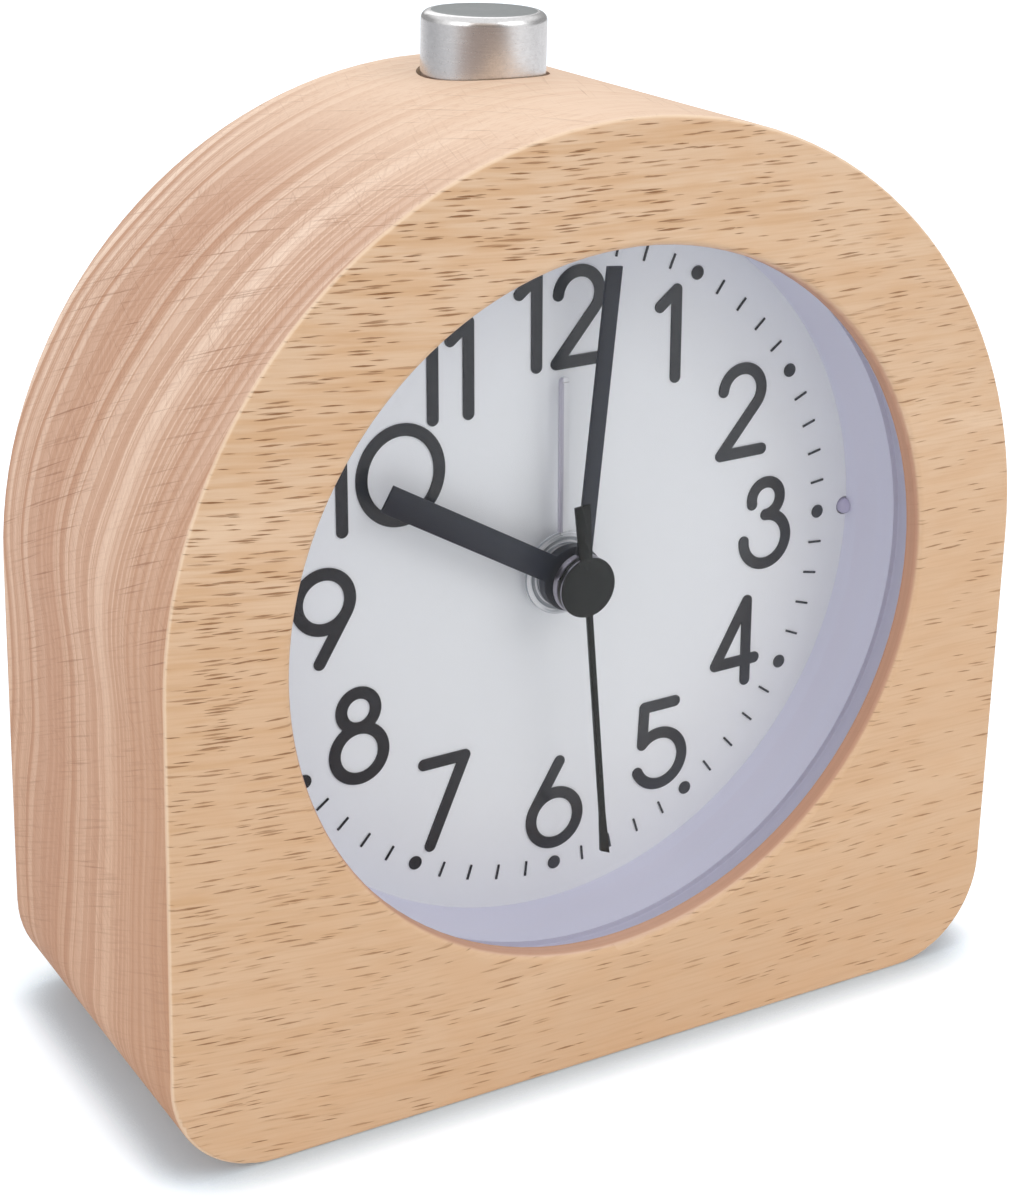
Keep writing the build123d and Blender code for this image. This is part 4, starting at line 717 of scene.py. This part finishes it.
# %% Second hand and its cap
tail_root, tail_width, tail_length = 0.65, 0.885, 9.0
second = rounded(
    bar(
        [
            (tail_root, 0),
            (tail_width, -tail_length),
            (-tail_width, -tail_length),
            (-tail_root, 0),
            (-0.35, 1.5),
            (-0.35, 26.3),
            (-0.55, 31.3),
            (0.55, 30.7),
            (0.35, 26.3),
            (0.35, 1.5),
        ],
        7.5,
        7.9,
    ),
    0.05,
)
finished("second_blade", aimed(second, second_direction), "second_hand", "seconds")
cap_front, cap_back, cap_radius, cap_edge = 7.48, 8.38, 3.25, 0.12
corner = [
    (
        cap_radius - cap_edge * (1 - cos(angle)),
        cap_front + cap_edge * (1 - sin(angle)),
    )
    for angle in [pi / 2 * step / 6 for step in range(7)]
]
cap_side = [(0.4, cap_back), (3.15, cap_back), (cap_radius, cap_back - 0.1)]
cap = turned(cap_side + corner + [(1.5, cap_front), (0, cap_front)])
finished("second_cap", cap, "second_hand", "seconds", slot="hand_gloss")
# Painted highlight: a thin bright steel ring at the cap's edge stands for the light caught
# there.
rim_highlight = turned([(3.255, 7.76), (3.265, 7.72), (3.262, 7.6), (3.225, 7.53)])
finished("second_rim_highlight", rim_highlight, "second_hand", "seconds", slot="arbor_steel")

# %% Alarm hand
alarm = rounded(bar(blade(1.1, 20.75, 4.5), 12.3, 12.8), 0.08)
tip_angles = [pi * (0.5 - step / 10) for step in range(11)]
tip = [(0.55 * sin(angle), 20.75 + 0.55 * cos(angle)) for angle in tip_angles]
joined(alarm, rounded(bar(tip + [(-0.55, 20.7), (0.55, 20.7)], 12.3, 12.8), 0.08))
ridge = [(-0.42, 4.2), (-0.42, 20.6), (-0.18, 20.6), (-0.18, 4.2)]
joined(alarm, rounded(bar(ridge, 12.18, 12.35), 0.05))
finished("alarm_blade", aimed(alarm, alarm_direction), "alarm_hand", "alarm")
boss = turned(
    [
        (2.32, 11.9),
        (2.9, 11.9),
        (3.0, 11.95),
        (3.05, 12.1),
        (3.4, 12.12),
        (3.45, 12.3),
        (3.8, 12.32),
        (3.9, 12.25),
        (4.15, 12.25),
        (4.25, 12.32),
        (4.3, 12.5),
    ]
)
finished("alarm_boss", boss, "alarm_hand", "alarm")

# %% [markdown]
# The lens stands on a step of the ring. Two faces in one place would draw a grey line there,
# so the pane's back stops a hair in front of the step, and its rim goes into the ring's wall.

# %% Lens
off_the_step, into_the_wall = 0.03, 0.1
lens_low, lens_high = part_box("lens")
lens_front = (lens_low.y - wood_front) / mm
lens_back = (lens_high.y - wood_front) / mm - off_the_step
lens_radius = (lens_high.x - lens_low.x) / 2 / mm + into_the_wall
lens_rim = [(lens_radius, lens_front), (lens_radius, lens_back)]
lens_profile = [(0, lens_front)] + lens_rim + [(0, lens_back)]
finished("lens_pane", turned(lens_profile), "lens", "case")

# %% [markdown]
# ## The snooze button
#
# A turned cap of aluminium, 13.2 mm across. Its top is flat, with a rounded rim. The flat
# face is painted darker than the rim, a painted dark reflection.

# %% Snooze button
button_radius, button_rim, button_bore, stem_radius = 6.62, 0.95, 5.0, 1.8
button_height, button_thickness = 9.2, 3.2
rim = [
    (
        button_radius - button_rim * (1 - cos(angle)),
        button_top - button_rim * (1 - sin(angle)),
    )
    for angle in [pi / 2 * step / 10 for step in range(11)]
]
button_ceiling = button_top - button_thickness
button_foot = button_top - button_height
profile = [(0, stem_end), (stem_radius, stem_end), (stem_radius, button_ceiling)]
profile += [(button_bore, button_ceiling), (button_bore, button_foot)]
profile += [(button_radius, button_foot)] + rim
profile += [(button_radius * share, button_top) for share in (0.6, 0.3, 0)]
button_points = [button_axis + Vector((radius, 0, height)) * mm for radius, height in profile]
button_shape = lathe(button_points, button_axis, (0, 0, 1), steps=128)
finished("button_cap", button_shape, "snooze_button", "snooze")

# %% [markdown]
# The return spring stands on the guide's floor and is pushed together by the button. Here it
# is the CAD coil with its doubled points merged, on a mesh of its own.

# %% Return spring
coil = bmesh.new()
coil.from_mesh(cad["button_spring"].data)
bmesh.ops.remove_doubles(coil, verts=coil.verts, dist=0.0005 * mm)
spring = finished("button_coil", coil, "button_spring", "snooze")
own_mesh(spring)

# %% [markdown]
# ## Dial marks, covers and knobs
#
# The numerals and ticks are printed thickly enough to catch the light at their edges.

# %% Softened pieces
softened("dial_numerals", "case", 0.06)
softened("minute_track", "case", 0.04)
softened("rear_cover", "case", 0.15)
softened("battery_door", "battery_door", 0.2)
softened("time_set_knob", "time_setting", 0.2)
softened("alarm_set_knob", "alarm_setting", 0.2)
softened("alarm_slider", "alarm_switch_slider", 0.25)
softened("case_screws", "case", 0.12)
softened("cover_screws", "case", 0.12)

# %% [markdown]
# ## Floor, backdrop and light
#
# The clock was photographed in a white tent: light from all sides, a little more from the
# front right. The floor glows for the camera only, so the picture is white around the clock
# while the floor still takes its shadow. Close to the block the glow gives way to a narrow
# shade. What the polished button mirrors is drawn apart, for glossy rays: a greyer left
# side, and a darker patch where the photographer stood.

# %% White tent
world = bpy.data.worlds.new("tent")
bpy.context.scene.world = world
world.use_nodes = True
tent = Network(world.node_tree)
direction = tent.node("TexCoord", {}, {}, "Generated")
towards_camera = tent.node(
    "VectorMath", {"operation": "DOT_PRODUCT"}, {0: direction, 1: backward}, "Value"
)
photographer = tent.step(towards_camera, 0.75, 0.95)
beside = tent.step(towards_camera, -0.3, 0.3) * (1 - tent.step(towards_camera, 0.55, 0.85))
upward = tent.maths("MAXIMUM", tent.parts(direction)[2], 0.0)
camera_ray = tent.node("LightPath", {}, {}, "Is Camera Ray")
clear_ray = tent.node("LightPath", {}, {}, "Is Transmission Ray")
glossy_ray = tent.node("LightPath", {}, {}, "Is Glossy Ray")
seen = tent.maths("MAXIMUM", camera_ray, clear_ray)
diffuse_light = upward * 0.3 + 0.65
overhead = tent.step(upward, 0.3, 0.65)
mirrored = tent.maths("MAXIMUM", beside, overhead) * 0.62 + 0.38
unseen = glossy_ray * mirrored + (1 - glossy_ray) * diffuse_light
background = tent.tree.nodes["Background"].inputs
tent.feed(background["Strength"], seen + (1 - seen) * unseen)
brown_share = photographer * glossy_ray * (1 - seen)
tent.feed(background["Color"], tent.tint(brown_share, (1, 1, 1, 1), srgb(232, 214, 200)))

floor_mesh = bmesh.new()
bmesh.ops.create_grid(floor_mesh, x_segments=1, y_segments=1, size=3.0)
floor_data = bpy.data.meshes.new("floor")
floor_mesh.to_mesh(floor_data)
floor_mesh.free()
floor = bpy.data.objects.new("floor", floor_data)
bpy.context.scene.collection.objects.link(floor)
paper = Finish("paper", Roughness=0.9)
floor_x, floor_y = paper.parts(paper.node("TexCoord", {}, {}, "Object"))[:2]
distance = paper.maths("SQRT", floor_x * floor_x + floor_y * floor_y)
towards = (floor_x * sin(azimuth) - floor_y * cos(azimuth)) / distance
standing_there = paper.step(towards, 0.45, 0.85)
right_side = paper.step(floor_x / distance, -0.75, 0.3)
mirrored_paper = paper.tint(right_side, srgb(196, 197, 201), srgb(248, 248, 250))
mirrored_paper = paper.tint(standing_there, mirrored_paper, srgb(166, 148, 140))
open_sky = paper.node("AmbientOcclusion", {"samples": 8}, {"Distance": 0.0065}, "AO")
near_block = 1 - paper.step(open_sky, 0.5, 1.0)
for_camera = paper.node("LightPath", {}, {}, "Is Camera Ray")
for_mirror = paper.node("LightPath", {}, {}, "Is Glossy Ray")
shade = near_block * for_camera * 0.6
paper_colour = paper.tint(shade, srgb(238, 242, 246), srgb(152, 172, 186))
paper.colour(paper.tint(for_mirror, paper_colour, mirrored_paper))
paper.shader.inputs["Emission Color"].default_value = srgb(228, 244, 255)
paper.feed(paper.shader.inputs["Emission Strength"], for_camera * (1 - near_block * 0.8) * 0.45)
floor_data.materials.append(paper.material)


def lamp(name, place, aim, size, power):
    """A square soft lamp that looks at a point."""
    data = bpy.data.lights.new(name, "AREA")
    data.size = size
    data.energy = power
    made = bpy.data.objects.new(name, data)
    made.location = place
    made.rotation_euler = (Vector(aim) - Vector(place)).to_track_quat("-Z", "Y").to_euler()
    bpy.context.scene.collection.objects.link(made)


lamp("key", (0.45, -0.75, 0.75), (0, 0, 0.05), 0.7, 2.4)
lamp("left", (-0.9, -0.25, 0.5), (0, 0, 0.05), 0.6, 1.7)
lamp("back", (0.3, 0.9, 0.6), (0, 0, 0.05), 0.6, 1.0)
bpy.context.scene.view_settings.view_transform = "Standard"
